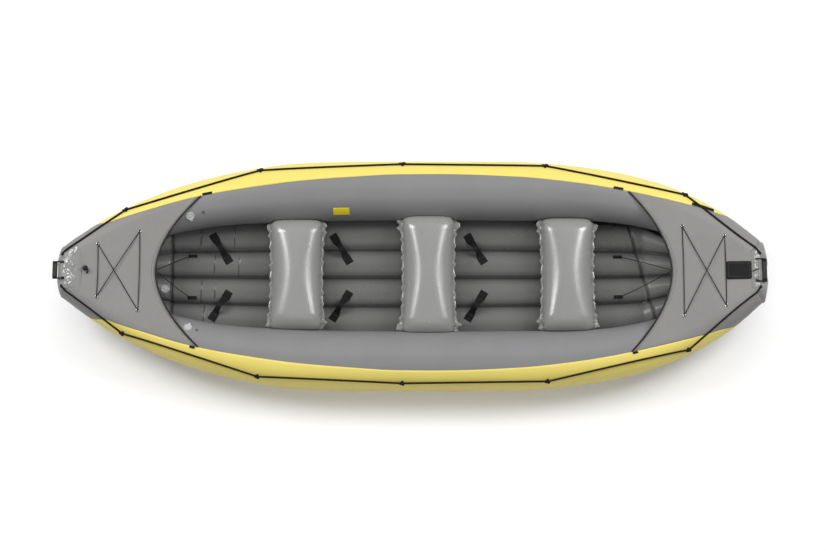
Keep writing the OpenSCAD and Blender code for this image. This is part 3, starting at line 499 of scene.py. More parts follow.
def seam_angle(s):
    """Angle of the seam outboard of the tube's top, evened out between the stations of the table."""
    steps = np.linspace(-SEAM_EVEN, SEAM_EVEN, 9)
    return np.mean([np.interp(s + d, *SEAM.T) for d in steps], axis=0)


# Side tubes, puckered towards the noses and flat where they would sink into the ground
TUBE_SIDES = 72
TUBE_RINGS = 210
DOME_RINGS = 14
DOME_REACH = 0.998
OUT_STEP = 0.01
DIMPLE_D = 0.0022
DIMPLE_FROM = 1.75
DIMPLE_RUN = 0.4
GROUND_GAP = 0.0002
dome = np.sin(np.linspace(0, 1, DOME_RINGS) * math.pi / 2)[1:] * DOME_REACH
stations = np.concatenate([-BOW["end"] - dome[::-1] * BOW["tip"],
                           np.linspace(-BOW["end"], STERN["end"], TUBE_RINGS),
                           STERN["end"] + dome * STERN["tip"]])[:, None]
angles = np.linspace(0, 360, TUBE_SIDES, endpoint=False)
near_nose = smooth((np.abs(stations) - DIMPLE_FROM) / DIMPLE_RUN)
for label, side in SIDES:
    rings = tube_point(stations, side, angles)
    out = (rings - tube_point(stations, side, angles, -OUT_STEP)) / OUT_STEP
    rings = rings + out * (DIMPLE_D * near_nose * rough(rings, 16.0, 3.0))[..., None]
    rings[..., 1] = side * np.maximum(side * rings[..., 1], NOSE_Y)
    rings[..., 2] = np.maximum(rings[..., 2], GROUND_GAP)
    lofted(f"tube_{label}", rings, GREY, replaced=(f"side_tube_{label}", f"side_tube_valve_{label}"))

# Yellow panels, drawn to a point at both ends
PANEL_ENDS = (-2.01, 2.0)
PANEL_UNDER = 142.5
PANEL_TIP = (84, 96)
PANEL_TIP_L = 0.12
PANEL_OFF = 0.001
s = np.linspace(*PANEL_ENDS, 230)[:, None]
close = 1 - smooth(np.minimum(s - PANEL_ENDS[0], PANEL_ENDS[1] - s) / PANEL_TIP_L)
top = lerp(seam_angle(s), PANEL_TIP[0], close)
under = lerp(PANEL_UNDER, PANEL_TIP[1], close**3)
across = np.linspace(0, 1, 40)
for label, side in SIDES:
    grid = tube_point(s, side, lerp(top, under, across), PANEL_OFF)
    panel = sheet(f"panel_{label}", grid, YELLOW, replaced=(f"side_panel_{label}",))

# Floor mat with four air cells, its ends folded up
FLOOR_CELLS = ("floor_cell_port_outer", "floor_cell_port_inner", "floor_cell_valve",
               "floor_cell_starboard_inner", "floor_cell_starboard_outer")
FLOOR_ENDS = (-FOLDS[-1] - FOLD_L, FOLDS[1] + FOLD_L)
FLOOR_LIFT = 0.0004
UNDER_ROUND = 0.98
# Station, middle, half length and depth of the fine creases across single cells
CREASES = [(-1.373, 0.262, 0.070, 0.00324), (-1.157, 0.270, 0.100, 0.00252), (-1.284, 0.085, 0.080, 0.00288),
           (-1.128, 0.070, 0.090, 0.00234), (-1.367, -0.100, 0.110, 0.0027), (-1.349, -0.260, 0.110, 0.0036),
           (-1.279, -0.100, 0.060, 0.00288)]
CREASE_W = 0.0036
CREASE_LEAN = 0.05
# Station, slant and depth of the folds across the whole mat
GROOVES = [(-FOLDS[-1], 0.0, 0.010), (FOLDS[1] + 0.006, -0.256, 0.011)]
GROOVE_W = 0.008
# Painted shade: the share of the colour lost, and over what distance, in the valleys, on their flanks and in
# the folds
VALLEY_PAINTED_SHADE = (0.80, 0.010)
FLANK_PAINTED_SHADE = (0.28, 0.034)
GROOVE_PAINTED_SHADE = (0.55, 0.009)
# Painted shade in the fine creases: share lost per metre of depth, how far it is shifted along the mat, and
# the least share left
CREASE_PAINTED_SHADE = 230
CREASE_SHIFT = 0.002
DARKEST_PAINTED_SHADE = 0.3
# Painted light: how much paler the floor grows past its folds, and over what distance
END_PAINTED_LIGHT = 0.35
END_PAINTED_LIGHT_L = 0.03
FLOOR_UNEVEN = 0.0015


def crease_depth(s, y):
    depth = np.zeros(np.broadcast(s, y).shape)
    for at, middle, reach, d in CREASES:
        fit = smooth(2 * (1 - np.abs(y - middle) / reach))
        depth += d * fit * bell(s - at - CREASE_LEAN * (y - middle), CREASE_W)
    return depth


def mirrored(half, sign=1):
    return np.concatenate([sign * half[:, :0:-1], half], 1)


s = np.concatenate([np.linspace(*FLOOR_ENDS, 190),
                    *[at + np.linspace(-0.012, 0.012, 11) for at, *_ in CREASES],
                    -FOLDS[-1] + np.linspace(-0.024, 0.024, 17), FOLDS[1] + np.linspace(-0.12, 0.12, 70)])
s = np.unique(np.round(s, 4))[:, None]
t = np.concatenate([np.linspace(0, 1, 19)[:-1], 1 + np.sin(np.linspace(0, 1, 22) * math.pi / 2)])
half, inner = floor_widths(s)
y = np.where(t < 1, t * inner, inner + (t - 1) * (half - inner))
z_top = floor_top(s, y)
level = floor_base(s) + FLOOR_T / 2
z_low = level - np.maximum((z_top - level) * UNDER_ROUND, 0) + FLOOR_LIFT
ys, tops, lows = mirrored(y, -1), mirrored(z_top), mirrored(z_low)
tops = tops - crease_depth(s, ys)
# Painted shade in the valleys and on their flanks, as a factor on the colour for each vertex
shade = np.ones(ys.shape)
for (loss, spread), edges in ((VALLEY_PAINTED_SHADE, (0 * inner, inner, half)), (FLANK_PAINTED_SHADE, (0 * inner, inner))):
    for edge in edges:
        shade *= 1 - loss * bell(np.abs(ys) - edge, spread)
# Painted light on the folded-up ends of the floor
shade *= 1 + END_PAINTED_LIGHT * smooth((np.abs(s) - fold_at(s)) / END_PAINTED_LIGHT_L)
for at, slant, depth in GROOVES:
    off = s - at - slant * ys
    tops -= depth * bell(off, GROOVE_W)
    # Painted shade along the folds
    shade *= 1 - GROOVE_PAINTED_SHADE[0] * bell(off, GROOVE_PAINTED_SHADE[1])
# Painted shade in the fine creases
shade *= np.maximum(DARKEST_PAINTED_SHADE, 1 - CREASE_PAINTED_SHADE * crease_depth(s + CREASE_SHIFT, ys))
tops = tops + FLOOR_UNEVEN * rough(xyz(s, ys, 0), 7.0, 11.0)
upper = xyz(s, ys, tops)
lower = xyz(s, ys, lows)[:, -2:0:-1]
shade = np.append(np.concatenate([shade, np.ones(lower.shape[:2])], 1), [1, 1])
floor = lofted("floor", np.concatenate([upper, lower], 1), FLOOR, replaced=FLOOR_CELLS, shade=shade)

# Bottom fabric under the floor, from tube to tube and up to both noses
BOTTOM_NOSE = 0.008
BOTTOM_STEPS = 90
BOTTOM_POINTS = 41
BOTTOM_EDGE = 0.85
BOTTOM_LIFT = 0.25
BOTTOM_TIP = 0.3
BOTTOM_SEAM = (155, 180)
BOTTOM_OFF = 0.0024
BOTTOM_DROP = 0.0016


def bottom_inner(s):
    """Half outline of the bottom under the floor, and past the floor where it narrows to a nose."""
    sign = -1 if s < 0 else 1
    end, tip = FORMS[sign]["end"], FOLDS[sign] + FOLD_L
    held = sign * min(abs(s), tip)
    half, inner = map(float, floor_widths(held))
    base = float(floor_base(held))
    edge = lerp(inner, half, BOTTOM_EDGE)
    if abs(s) <= tip:
        lift = FLOOR_T / 2 * (1 - math.sqrt(1 - (2 * BOTTOM_EDGE - 1) ** 2)) * BOTTOM_LIFT
        return [(0, base), (inner, base), ((inner + half) / 2, base), (edge, base + lift)]
    t = (abs(s) - tip) / (end - tip)
    r, y, z, _ = map(float, tube_form(sign * end))
    w = lerp(edge, BOTTOM_TIP * y, t)
    return [(k * w, lerp(base, z - r, t)) for k in (0, 0.4, 0.7, 1)]


def bottom_row(s):
    """Points from tube to tube: up to where the cloth leaves the outline as a tangent of the tube."""
    inner = bottom_inner(s)
    r, y, z, _ = map(float, tube_form(s))
    qy, qz = inner[3][0] - y, inner[3][1] - z
    bearing = math.degrees(math.atan2(qz, qy)) % 360
    tangent = bearing + math.degrees(math.acos(min(1, r / math.hypot(qy, qz)))) - 90
    seam = lerp(*BOTTOM_SEAM, min(1, abs(s) / float(fold_at(s))))
    joined_at = tube_point(s, 1, -min(seam, tangent), BOTTOM_OFF)
    half = [(s, py, pz - BOTTOM_DROP) for py, pz in inner] + [tuple(joined_at)]
    row = np.array([(px, -py, pz) for px, py, pz in half[:0:-1]] + half)
    row[:, 0] = s
    return even(row, BOTTOM_POINTS)


rows = np.linspace(-BOW["end"] + BOTTOM_NOSE, STERN["end"] - BOTTOM_NOSE, BOTTOM_STEPS)
grid = np.array([bottom_row(float(v)) for v in rows])
bottom = sheet("bottom_cloth", grid, GREY, replaced=("hull_bottom",))

# Seats: air cushions welded from two sheets, pressed between the tubes, with a puckered flange and
# ears at the corners. Station, half length and height of the base of each.
SEATS = {"front": (-0.747, 0.359, 0.1056), "middle": (0.099, 0.386, 0.1056), "rear": (0.990, 0.368, 0.10995)}
SEAT_D = 0.350
SEAT_H = 0.232
SEAT_ROUND = 0.100
SEAT_RINGS = 120
SEAT_SIDES = 120
SEAT_WAIST = 0.09
SEAT_CORNER = 0.36
SEAT_CROWN = 0.08
SEAT_END_H = 0.12
SEAT_END_DROP = 0.02
SEAT_SQUARE = (1.8, 3.2)
SEAT_GAP = 0.0016
SEAT_SINK = 0.0004
PUCKER = 0.064
PUCKER_D = 0.0046
WELD_H = 0.42
EARS = {"front": 0.024, "middle": 0.034, "rear": 0.028}
FLANGE_W = 0.012
FLANGE_REACH = 0.985
FLANGE_WAVE = (0.0045, 0.0095)
FLANGE_DROOP = 0.004
FLANGE_TUCK = 0.0015
EAR_CRUMPLE = 0.0035


def seat_section(y, half):
    """Half depth, half height and middle height of a seat's section, from its base."""
    w = np.abs(y) / half
    k = np.maximum(0, np.abs(y) - half + SEAT_ROUND) / SEAT_ROUND
    end = np.sqrt(np.maximum(0, 1 - k**2))
    depth = SEAT_D / 2 * (1 - SEAT_WAIST * (1 - w**2)) * (1 - SEAT_CORNER * (1 - end) ** 1.5)
    crown = SEAT_H / 2 * (1 - SEAT_CROWN * w**2)
    return depth, crown * (SEAT_END_H + (1 - SEAT_END_H) * end**0.8), crown - SEAT_END_DROP * (1 - end)


def pucker(y, index, aft):
    """Waves along a seat's weld, of its own on each side of each seat."""
    phase = np.where(aft, 0.4 + index, 2.1 + 1.7 * index)
    fine = np.sin(math.tau * y / (PUCKER * 0.61) + 2.3 * phase)
    return np.sin(math.tau * y / PUCKER + phase) + 0.5 * fine


def between_tubes(points):
    """Keeps a seat off the flanks of both tubes."""
    r, y, z, _ = tube_form(points[..., 0])
    flank = y - np.sqrt(np.maximum(0, r**2 - (points[..., 2] - z) ** 2)) - SEAT_GAP
    points[..., 1] = np.sign(points[..., 1]) * np.minimum(np.abs(points[..., 1]), flank)
    return points


def signed_power(c, power):
    return np.sign(c) * np.abs(c) ** power


for index, (label, (x, half, base)) in enumerate(SEATS.items()):
    body = f"{label}_seat"
    y = half * np.sin(np.linspace(-1, 1, SEAT_RINGS) * math.pi / 2)[:, None] * 0.999
    a = np.linspace(0, math.tau, SEAT_SIDES, endpoint=False)
    depth, height, middle = seat_section(y, half)
    square = 2 / lerp(*SEAT_SQUARE, (y / half) ** 2)
    px, pz = signed_power(np.cos(a), square), signed_power(np.sin(a), square)
    corner = 0.55 + smooth((np.abs(y) / half - 0.60) / 0.3)
    fold = PUCKER_D * bell(np.abs(np.sin(a)), WELD_H) * corner * pucker(y, index, np.cos(a) > 0)
    rings = xyz(x + depth * px * (1 + fold / (SEAT_D / 2)), y, base + middle + height * pz - fold * 0.6)
    rings[..., 2] = np.maximum(rings[..., 2], base - SEAT_SINK)
    cushion = lofted(f"seat_{label}_cushion", between_tubes(rings), SEAT, body=body,
                     replaced=(f"seat_{label}",))
    # Welded flange along both sides, drawn in by its puckers and wider at the ears
    run = np.linspace(-FLANGE_REACH, FLANGE_REACH, 260)[:, None] * half
    across = np.linspace(-0.25, 1, 9)
    d, _, m = seat_section(run, half)
    w = np.abs(run) / half
    ears = smooth((w - 0.66) / 0.2) * smooth((1 - w) / 0.06)
    for way, sx in (("fore", -1), ("aft", 1)):
        sway = pucker(run, index, sx > 0)
        wide = lerp(FLANGE_W, EARS[label], ears) * (1 + 0.26 * sway)
        wave = lerp(*FLANGE_WAVE, ears) * sway * across
        z = base + m + wave - FLANGE_DROOP * across**2
        grid = xyz(x + sx * (d - FLANGE_TUCK + across * wide), run, z)
        grid[..., 2] += EAR_CRUMPLE * ears * across * rough(grid, 60.0, 3.0 + index)
        sheet(f"seat_{label}_flange_{way}", between_tubes(grid), SEAT, thickness=0.0012, body=body)

# Spray decks: cloth from tube to tube, hollowed at the cockpit and sagging a little in the middle
DECK_X = {-1: 1.62608, 1: 1.63508}
DECK_ARC_D = 0.275
DECK_ARC_W = {-1: 0.4801, 1: 0.5239}
DECK_ARC_POWER = 1.85
DECK_FLAT = 0.6
DECK_NOSE = 0.006
DECK_OFF = 0.0026
DECK_SAG = 0.006
SEAM_GAP = 1.2
HEMS = (("outer", 0.010), ("inner", 0.022))
HEM_R = 0.0007
PIPING_R = 0.005
PIPING_OUT = 0.0052
PIPING_OFF = 0.0056
PIPING_SAG = 0.004


def over_tubes(s, v, reach, off, sag=0.0):
    """Points across both tubes: flat between their crests, then round each of them as far as an angle."""
    s, v = floats(s, v)
    r, y, z, _ = tube_form(s)
    a = np.maximum(0, np.abs(v) - DECK_FLAT) / (1 - DECK_FLAT) * reach
    on_tube = np.where((v < 0)[..., None], tube_point(s, -1, a, off), tube_point(s, 1, a, off))
    k = v / DECK_FLAT
    flat = xyz(s, k * y, z + r + off - sag * (1 - np.minimum(1, k**2)) ** 2)
    return np.where((np.abs(v) > DECK_FLAT)[..., None], on_tube, flat)


def deck_point(s, v, off, sag=DECK_SAG):
    return over_tubes(s, v, seam_angle(s) - SEAM_GAP, off, sag)


def deck_edge(end, v):
    """Stations at which the deck's lines across meet the arc of its edge."""
    s = np.full(np.shape(v), end * DECK_X[end])
    for _ in range(12):
        at = deck_point(s, v, 0.0)
        arc = end * (DECK_X[end] - DECK_ARC_D * (np.abs(at[..., 1]) / DECK_ARC_W[end]) ** DECK_ARC_POWER)
        s = s + arc - at[..., 0]
    return s


for label, end in ENDS:
    v = np.linspace(-1, 1, 97)
    first = deck_edge(end, v)
    last = end * (FORMS[end]["end"] - DECK_NOSE)
    k = np.linspace(0, 1, 64)[:, None]
    grid = deck_point(lerp(first, last, k), v, DECK_OFF)
    waves = 0.0012 * rough(grid * [0.6, 1.6, 0], 9.0, 5.0 * end)
    waves += 0.0007 * rough(grid * [3.0, 0.5, 0], 9.0, 2.0 * end)
    grid[..., 2] += waves * smooth(k / 0.12) * smooth((1 - np.abs(v)) / 0.25)
    deck = sheet(f"deck_{label}", grid, DECK, replaced=(f"spray_deck_{label}",))
    # Hem, stitched a finger's width in from the edge
    for row, inset in HEMS:
        line = deck_point(first + end * inset, v * 0.985, DECK_OFF + 0.0009)
        rope(f"deck_hem_{row}_{label}", even(line, 160), HEM_R, THREAD, sides=6)
    # Piping, an even step out from the edge however that slants
    heading = np.gradient(deck_point(first, v, DECK_OFF + 0.003), axis=0)
    slant = np.abs(heading[:, 1]) / np.linalg.norm(heading[:, :2], axis=1)
    line = deck_point(first - end * PIPING_OUT / np.maximum(slant, 0.25), v, PIPING_OFF, PIPING_SAG)
    rope(f"piping_{label}", even(line, 150), PIPING_R, TRIM, replaced=(f"deck_piping_{label}",))

# Nose patches, shiny and crumpled, drawn down flush with the deck
NOSE_FROM = {-1: -0.78, 1: -0.05}
NOSE_TO = 0.86
NOSE_ANGLE = 24
NOSE_OFF = (0.0012, 0.0046)
NOSE_RIDGE = {-1: -0.009, 1: 0.045}
CRUMPLE_D = 0.0066
CREST_D = 0.0042
CREST_W = 0.012
CRUMPLE_LOW = 0.0014
for label, end in ENDS:
    form = FORMS[end]
    reach = np.linspace(NOSE_FROM[end], NOSE_TO, 70)[:, None] * form["tip"]
    v = np.linspace(-1, 1, 121)
    flush = smooth((reach - reach[0]) / 0.02) * smooth((1 - np.abs(v)) / 0.1)
    grid = over_tubes(end * (form["end"] + reach), v, NOSE_ANGLE, lerp(*NOSE_OFF, flush))
    crumple = np.abs(rough(grid * [1, 0.45, 1], 34.0, 2.0)) + 0.5 * np.abs(rough(grid, 70.0, 4.0))
    crest = bell(reach - NOSE_RIDGE[end] - 0.006 * rough(grid, 22.0, 6.0), CREST_W)
    crest *= smooth((0.8 - np.abs(v)) / 0.3)
    fade = smooth((reach - reach[0]) / 0.06) * smooth((1 - np.abs(v)) / 0.12)
    grid[..., 2] += (CRUMPLE_D * crumple + CREST_D * crest - CRUMPLE_LOW) * fade
    nose = sheet(f"nose_{label}", grid, NOSE, replaced=(f"nose_patch_{label}",))

# Deck lacing between plated eyelets; one diagonal passes over the other
EYELETS = {-1: [(-1.983, 0.168), (-1.725, 0.252)], 1: [(1.700, 0.284), (1.962, 0.222)]}
LACE_R = 0.0025
LACE_OFF = 0.0055
LACE_OVER = 0.0054
LACE_DROOP = 0.004
for label, end in ENDS:
    nodes[f"deck_eyelets_{label}"].data.materials[0] = METAL
    (ax, ay), (bx, by) = EYELETS[end]
    runs = [((ax, -ay), (ax, ay), 0.0), ((bx, -by), (bx, by), 0.0),
            ((ax, ay), (bx, -by), 0.0), ((ax, -ay), (bx, by), LACE_OVER)]
    parts = []
    for i, (p, q, hump) in enumerate(runs):
        t = np.linspace(0, 1, 60)
        lift = hump * np.minimum(1, 3 * np.minimum(t, 1 - t))
        z = lerp(crest_z(p[0]), crest_z(q[0]), t) + LACE_OFF + lift
        droop = LACE_DROOP * math.sin(1 + i) * np.sin(math.pi * t) * (i < 2)
        path = xyz(lerp(p[0], q[0], t) + droop, lerp(p[1], q[1], t), z)
        parts.append(rope(f"lace_{label}_{i}", path, LACE_R, CORD, sides=10))
    joined(f"lacing_{label}", parts, replaced=(f"deck_lacing_{label}",))

# Tension cords and the webbing tabs that hold them on the floor
TABS = {-1: (-1.425, 0.135), 1: (1.325, 0.130)}
TAB_HALF = (0.028, 0.011)
TAB_T = 0.0035
TAB_OFF = 0.0032
TAB_EYE = 0.0168
TIE_R = 0.007
TIE_OFF = 0.0090
TENSION_IN = 0.0131
TENSION_APART = 0.005
for label, end in ENDS:
    tx, ty = TABS[end]
    top_s = float(deck_edge(end, 0)) - end * TENSION_IN
    low_s = tx + end * TAB_EYE
    cords, tabs = [], []
    for side in (-1, 1):
        low = np.array([low_s, side * ty, float(floor_top(low_s, ty)) + TIE_OFF])
        high = np.array(on_deck(top_s, side * TENSION_APART, 0.005))
        bow_out = np.array([0, side * 0.004, -0.010])
        path = spline([low, lerp(low, high, 0.35) + bow_out, lerp(low, high, 0.7) + bow_out * 0.7, high], 60)
        cords.append(rope(f"tension_{label}_{side}", path, LACE_R, CORD, sides=10))
        xs = np.linspace(-TAB_HALF[0], TAB_HALF[0], 16) + tx
        lie = xyz(xs, side * ty, floor_top(xs, ty) + TAB_OFF)
        tabs.append(band(f"tab_{label}_{side}", lie, 2 * TAB_HALF[1], TAB_T, WEBBING))
        a = np.linspace(0, math.tau, 20)
        loop = xyz(low_s + TIE_R * np.cos(a), side * ty + TIE_R * np.sin(a), low[2] - 0.0005)
        cords.append(rope(f"tension_knot_{label}_{side}", loop, 0.003, CORD, sides=8))
    joined(f"tension_cords_{label}", cords, replaced=(f"deck_tensioner_{label}",))
    joined(f"tension_tab_{label}", tabs, replaced=(f"tension_tabs_{label}",))

# Lifelines: straight in plan between their anchors, knotted at each
ROPE_R = 0.0062
ROPE_OFF = 0.0082
ROPE_FALL = 50
ANCHORS = (-1.784, -0.963, -0.067, 0.842, 1.687)
ROPE_ENDS = {-2.190: 19, 2.166: 10}
ROPE_EVEN = 5
KNOT_R = 0.0045
KNOT_FORM = np.diag([1.15, 0.62, 0.75])
KNOT_UP = 0.003
ANCHOR_KNOT = 0.0056
END_KNOT = 0.0028
# Loop of webbing over the rope: across and up from its foot
LOOP = [(-0.018, 0.0030), (-0.0125, 0.0036), (-0.0085, 0.0085), (0, 0.0150), (0.0085, 0.0085),
        (0.0125, 0.0036), (0.018, 0.0030)]
LOOP_BAND = (0.014, 0.0018)


def rope_angle(s, y):
    r, ty, _, lean = tube_form(s)
    return np.degrees(np.arcsin(np.minimum(0.98, (y - ty) / ((r + ROPE_OFF) * np.cos(lean)))))


def mark(s, off=ROPE_OFF):
    return tube_point(s, 1, ROPE_ENDS.get(s, ROPE_FALL), off)


def lifeline_path(side):
    marks = sorted([*ROPE_ENDS, *ANCHORS])
    points = []
    for a, b in zip(marks[:-1], marks[1:]):
        t = np.linspace(0, 1, 60, endpoint=b == marks[-1])
        s = lerp(a, b, t)
        y = lerp(mark(a)[1], mark(b)[1], t)
        points.append(tube_point(s, 1, np.minimum(ROPE_FALL, rope_angle(s, y)), ROPE_OFF))
    return np.concatenate(points) * [1, side, 1]


def knot_path(size):
    t = np.linspace(0, math.tau, 90)
    return size * xyz(np.sin(t) + 2 * np.sin(2 * t), np.cos(t) - 2 * np.cos(2 * t), -np.sin(3 * t))


def axes(heading, normal):
    """Rotation whose X runs along a heading and whose Z stands along a normal."""
    x = unit(heading)
    y = unit(np.cross(normal, x))
    return np.stack([x, y, np.cross(x, y)], 1)


for label, side in SIDES:
    line = even(lifeline_path(side), 700)
    kernel = np.ones(ROPE_EVEN) / ROPE_EVEN
    inner = xyz(*[np.convolve(line[:, k], kernel, "valid") for k in range(3)])
    line = np.concatenate([line[: ROPE_EVEN // 2], inner, line[-(ROPE_EVEN // 2):]])
    parts = [rope(f"rope_{label}", line, ROPE_R, ROPE)]
    loops = []
    for i, s in enumerate((*ANCHORS, *ROPE_ENDS)):
        at = mark(s) * [1, side, 1]
        foot = mark(s, 0.0) * [1, side, 1]
        normal = unit(at - foot)
        near = np.argmin(np.linalg.norm(line - at, axis=1))
        turn = axes(line[min(near + 6, len(line) - 1)] - line[max(near - 6, 0)], normal)
        size = ANCHOR_KNOT if s in ANCHORS else END_KNOT
        knot = knot_path(size) @ KNOT_FORM @ turn.T + at + normal * KNOT_UP
        parts.append(rope(f"knot_{label}_{i}", knot, KNOT_R, ROPE, sides=10))
        if s in ANCHORS:
            run = np.array([foot + turn[:, 1] * c + turn[:, 2] * h for c, h in LOOP])
            loops.append(band(f"loop_{label}_{i}", spline(run, 40), *LOOP_BAND, WEBBING, up=turn[:, 2]))
    joined(f"lifeline_rope_{label}", parts, replaced=(f"lifeline_{label}",))
    joined(f"lifeline_loops_{label}", loops, replaced=(f"lifeline_anchors_{label}",))

# Foot straps: webbing sewn down at both ends, arched and leaning between
STRAPS = {"front": -1.245, "middle": -0.466, "rear": 0.407}
STRAP_LEAN = 24
STRAP_HALF = (0.044, 0.072)
STRAP_W = 0.048
STRAP_T = 0.0028
STRAP_OFF = 0.0052
STRAP_RISE = 0.046
STRAP_SEWN = 1 / 8
STRAP_WAIST = 0.2
PATCH_HALF = 0.026
PATCH_T = 0.002
PATCH_OFF = 0.0016


def roll(x, y, across):
    """Degrees that the floor falls to one side over a strap's width."""
    rise = floor_top(x + across[0], y + across[1]) - floor_top(x - across[0], y - across[1])
    return -math.degrees(math.atan(float(rise) / STRAP_W))


patches = []
for label, x in STRAPS.items():
    for side_label, side in SIDES:
        t = np.linspace(0, 1, 90)
        px = x + STRAP_HALF[0] * (2 * t - 1)
        py = side * (CELL_W - STRAP_HALF[1] * (2 * t - 1))
        free = clamp((t - STRAP_SEWN) / (1 - 2 * STRAP_SEWN))
        arch = (1 - np.cos(math.tau * free)) / 2
        under = floor_top(px, py)
        sewn = [STRAP_SEWN, 1 - STRAP_SEWN]
        low = np.interp(t, sewn, np.interp(sewn, t, under))
        ground = np.where((free <= 0) | (free >= 1), under, low)
        path = xyz(px, py, ground + STRAP_OFF + STRAP_RISE * arch)
        bearing = math.atan2(-side * STRAP_HALF[1], STRAP_HALF[0])
        c, d = math.cos(bearing), math.sin(bearing)
        across = STRAP_W / 2 * np.array([-d, c])
        twist = lerp(roll(px[4], py[4], across), roll(px[-5], py[-5], across), free) + STRAP_LEAN * arch
        rings = swept_rings(path, band_profile(STRAP_W, STRAP_T), twist)
        waist = 1 - STRAP_WAIST * smooth(free / 0.3) * smooth((1 - free) / 0.3)
        rings = path[:, None] + (rings - path[:, None]) * waist[:, None, None]
        lofted(f"strap_{label}_{side_label}", rings, WEBBING, replaced=(f"foot_strap_{label}_{side_label}",))
        side_run = np.linspace(-PATCH_HALF, PATCH_HALF, 15)
        a, b = net(side_run, side_run)
        for k in (0, -1):
            gx, gy = px[k] + a * c - b * d, py[k] + a * d + b * c
            grid = xyz(gx, gy, floor_top(gx, gy) + PATCH_OFF)
            patches.append(sheet(f"strap_patch_{len(patches)}", grid, WEBBING, thickness=PATCH_T))
joined("strap_patches", patches, replaced=("foot_strap_patches",))

# Air valves: turned caps on strap hinges, with the CAD cups and stems under them
VALVES = {"port": ((-1.41421, -0.35718, 0.363222), (0.144901, 0.52501, 0.838671)),
          "starboard": ((-1.41421, 0.35718, 0.363222), (0.144901, -0.52501, 0.838671)),
          "floor": ((-1.600, -0.085, 0.168541), (0.374607, 0.0, 0.927184))}
CAP_PROFILE = [(0.0144, 0.0013), (0.0144, 0.0033), (0.0238, 0.0033), (0.025, 0.0042), (0.025, 0.0088),
               (0.0243, 0.0104), (0.0225, 0.0113), (0.019, 0.0113), (0.0182, 0.0104), (0.012, 0.0101),
               (0.0085, 0.0101), (0.0078, 0.0109), (0.0028, 0.0113)]
CAP_RIBS = 24
CAP_RIB_D = 0.0009
CAP_STRAP = np.array([(0.0235, 0, 0.0088), (0.0262, 0, 0.0092), (0.0290, 0, 0.0098), (0.0318, 0, 0.0090),
                      (0.0336, 0, 0.0069)])
CAP_STRAP_BAND = (0.0115, 0.0022)
for label, (origin, axis) in VALVES.items():
    nodes[f"valve_body_{label}"].data.materials[0] = VALVE
    nodes[f"valve_plunger_{label}"].data.materials[0] = STEM
    z = unit(np.array(axis))
    turn = Matrix.Rotation(math.atan2(z[1], z[0]), 3, "Z") @ Matrix.Rotation(math.acos(z[2]), 3, "Y")
    place = Matrix.Translation(Vector(origin)) @ turn.to_4x4()
    body = f"{label}_valve_cap"
    lathe(f"cap_{label}", CAP_PROFILE, place, VALVE, sides=96, ribs=CAP_RIBS, rib_d=CAP_RIB_D, body=body,
          replaced=(f"valve_cap_{label}",))
    m = np.array(place)
    line = spline(CAP_STRAP @ m[:3, :3].T + m[:3, 3], 20)
    band(f"cap_hinge_{label}", line, *CAP_STRAP_BAND, VALVE, up=m[:3, 2], body=body)

# Small plugs on the tubes beside the valves: station and degrees from the tube's top
PLUGS = {"starboard": (1, -1.350, -29.6), "port": (-1, -1.378, -31.4)}
PLUG_R = 0.0105
PLUG_OFF = 0.0014
PLUG_CROWN = 0.0006
u, v = net(np.linspace(0.05, 1, 8), np.linspace(0, math.tau, 25))
for label, (side, s, angle) in PLUGS.items():
    turn = math.degrees(PLUG_R / float(tube_form(s)[0]))
    off = PLUG_OFF - PLUG_CROWN * u**2
    grid = tube_point(s + PLUG_R * u * np.cos(v), side, angle + turn * u * np.sin(v), off)
    sheet(f"plug_{label}", grid, PLUG, thickness=0.0008)

# Mouth valves of the seats
MOUTH_PROFILE = [(0.004, -0.012), (0.0145, -0.0115), (0.0152, 0.0004), (0.0148, 0.0018), (0.012, 0.0026),
                 (0.0095, 0.0027), (0.0092, 0.0046), (0.0082, 0.0052), (0.002, 0.0053)]
for label in SEATS:
    lo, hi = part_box(f"seat_valve_{label}")
    spot = Vector((lo.x, (lo.y + hi.y) / 2, (lo.z + hi.z) / 2))
    place = Matrix.Translation(spot) @ Matrix.Rotation(math.pi / 2, 4, "Y")
    lathe(f"seat_valve_cap_{label}", MOUTH_PROFILE, place, VALVE, body=f"{label}_seat",
          replaced=(f"seat_valve_{label}",))

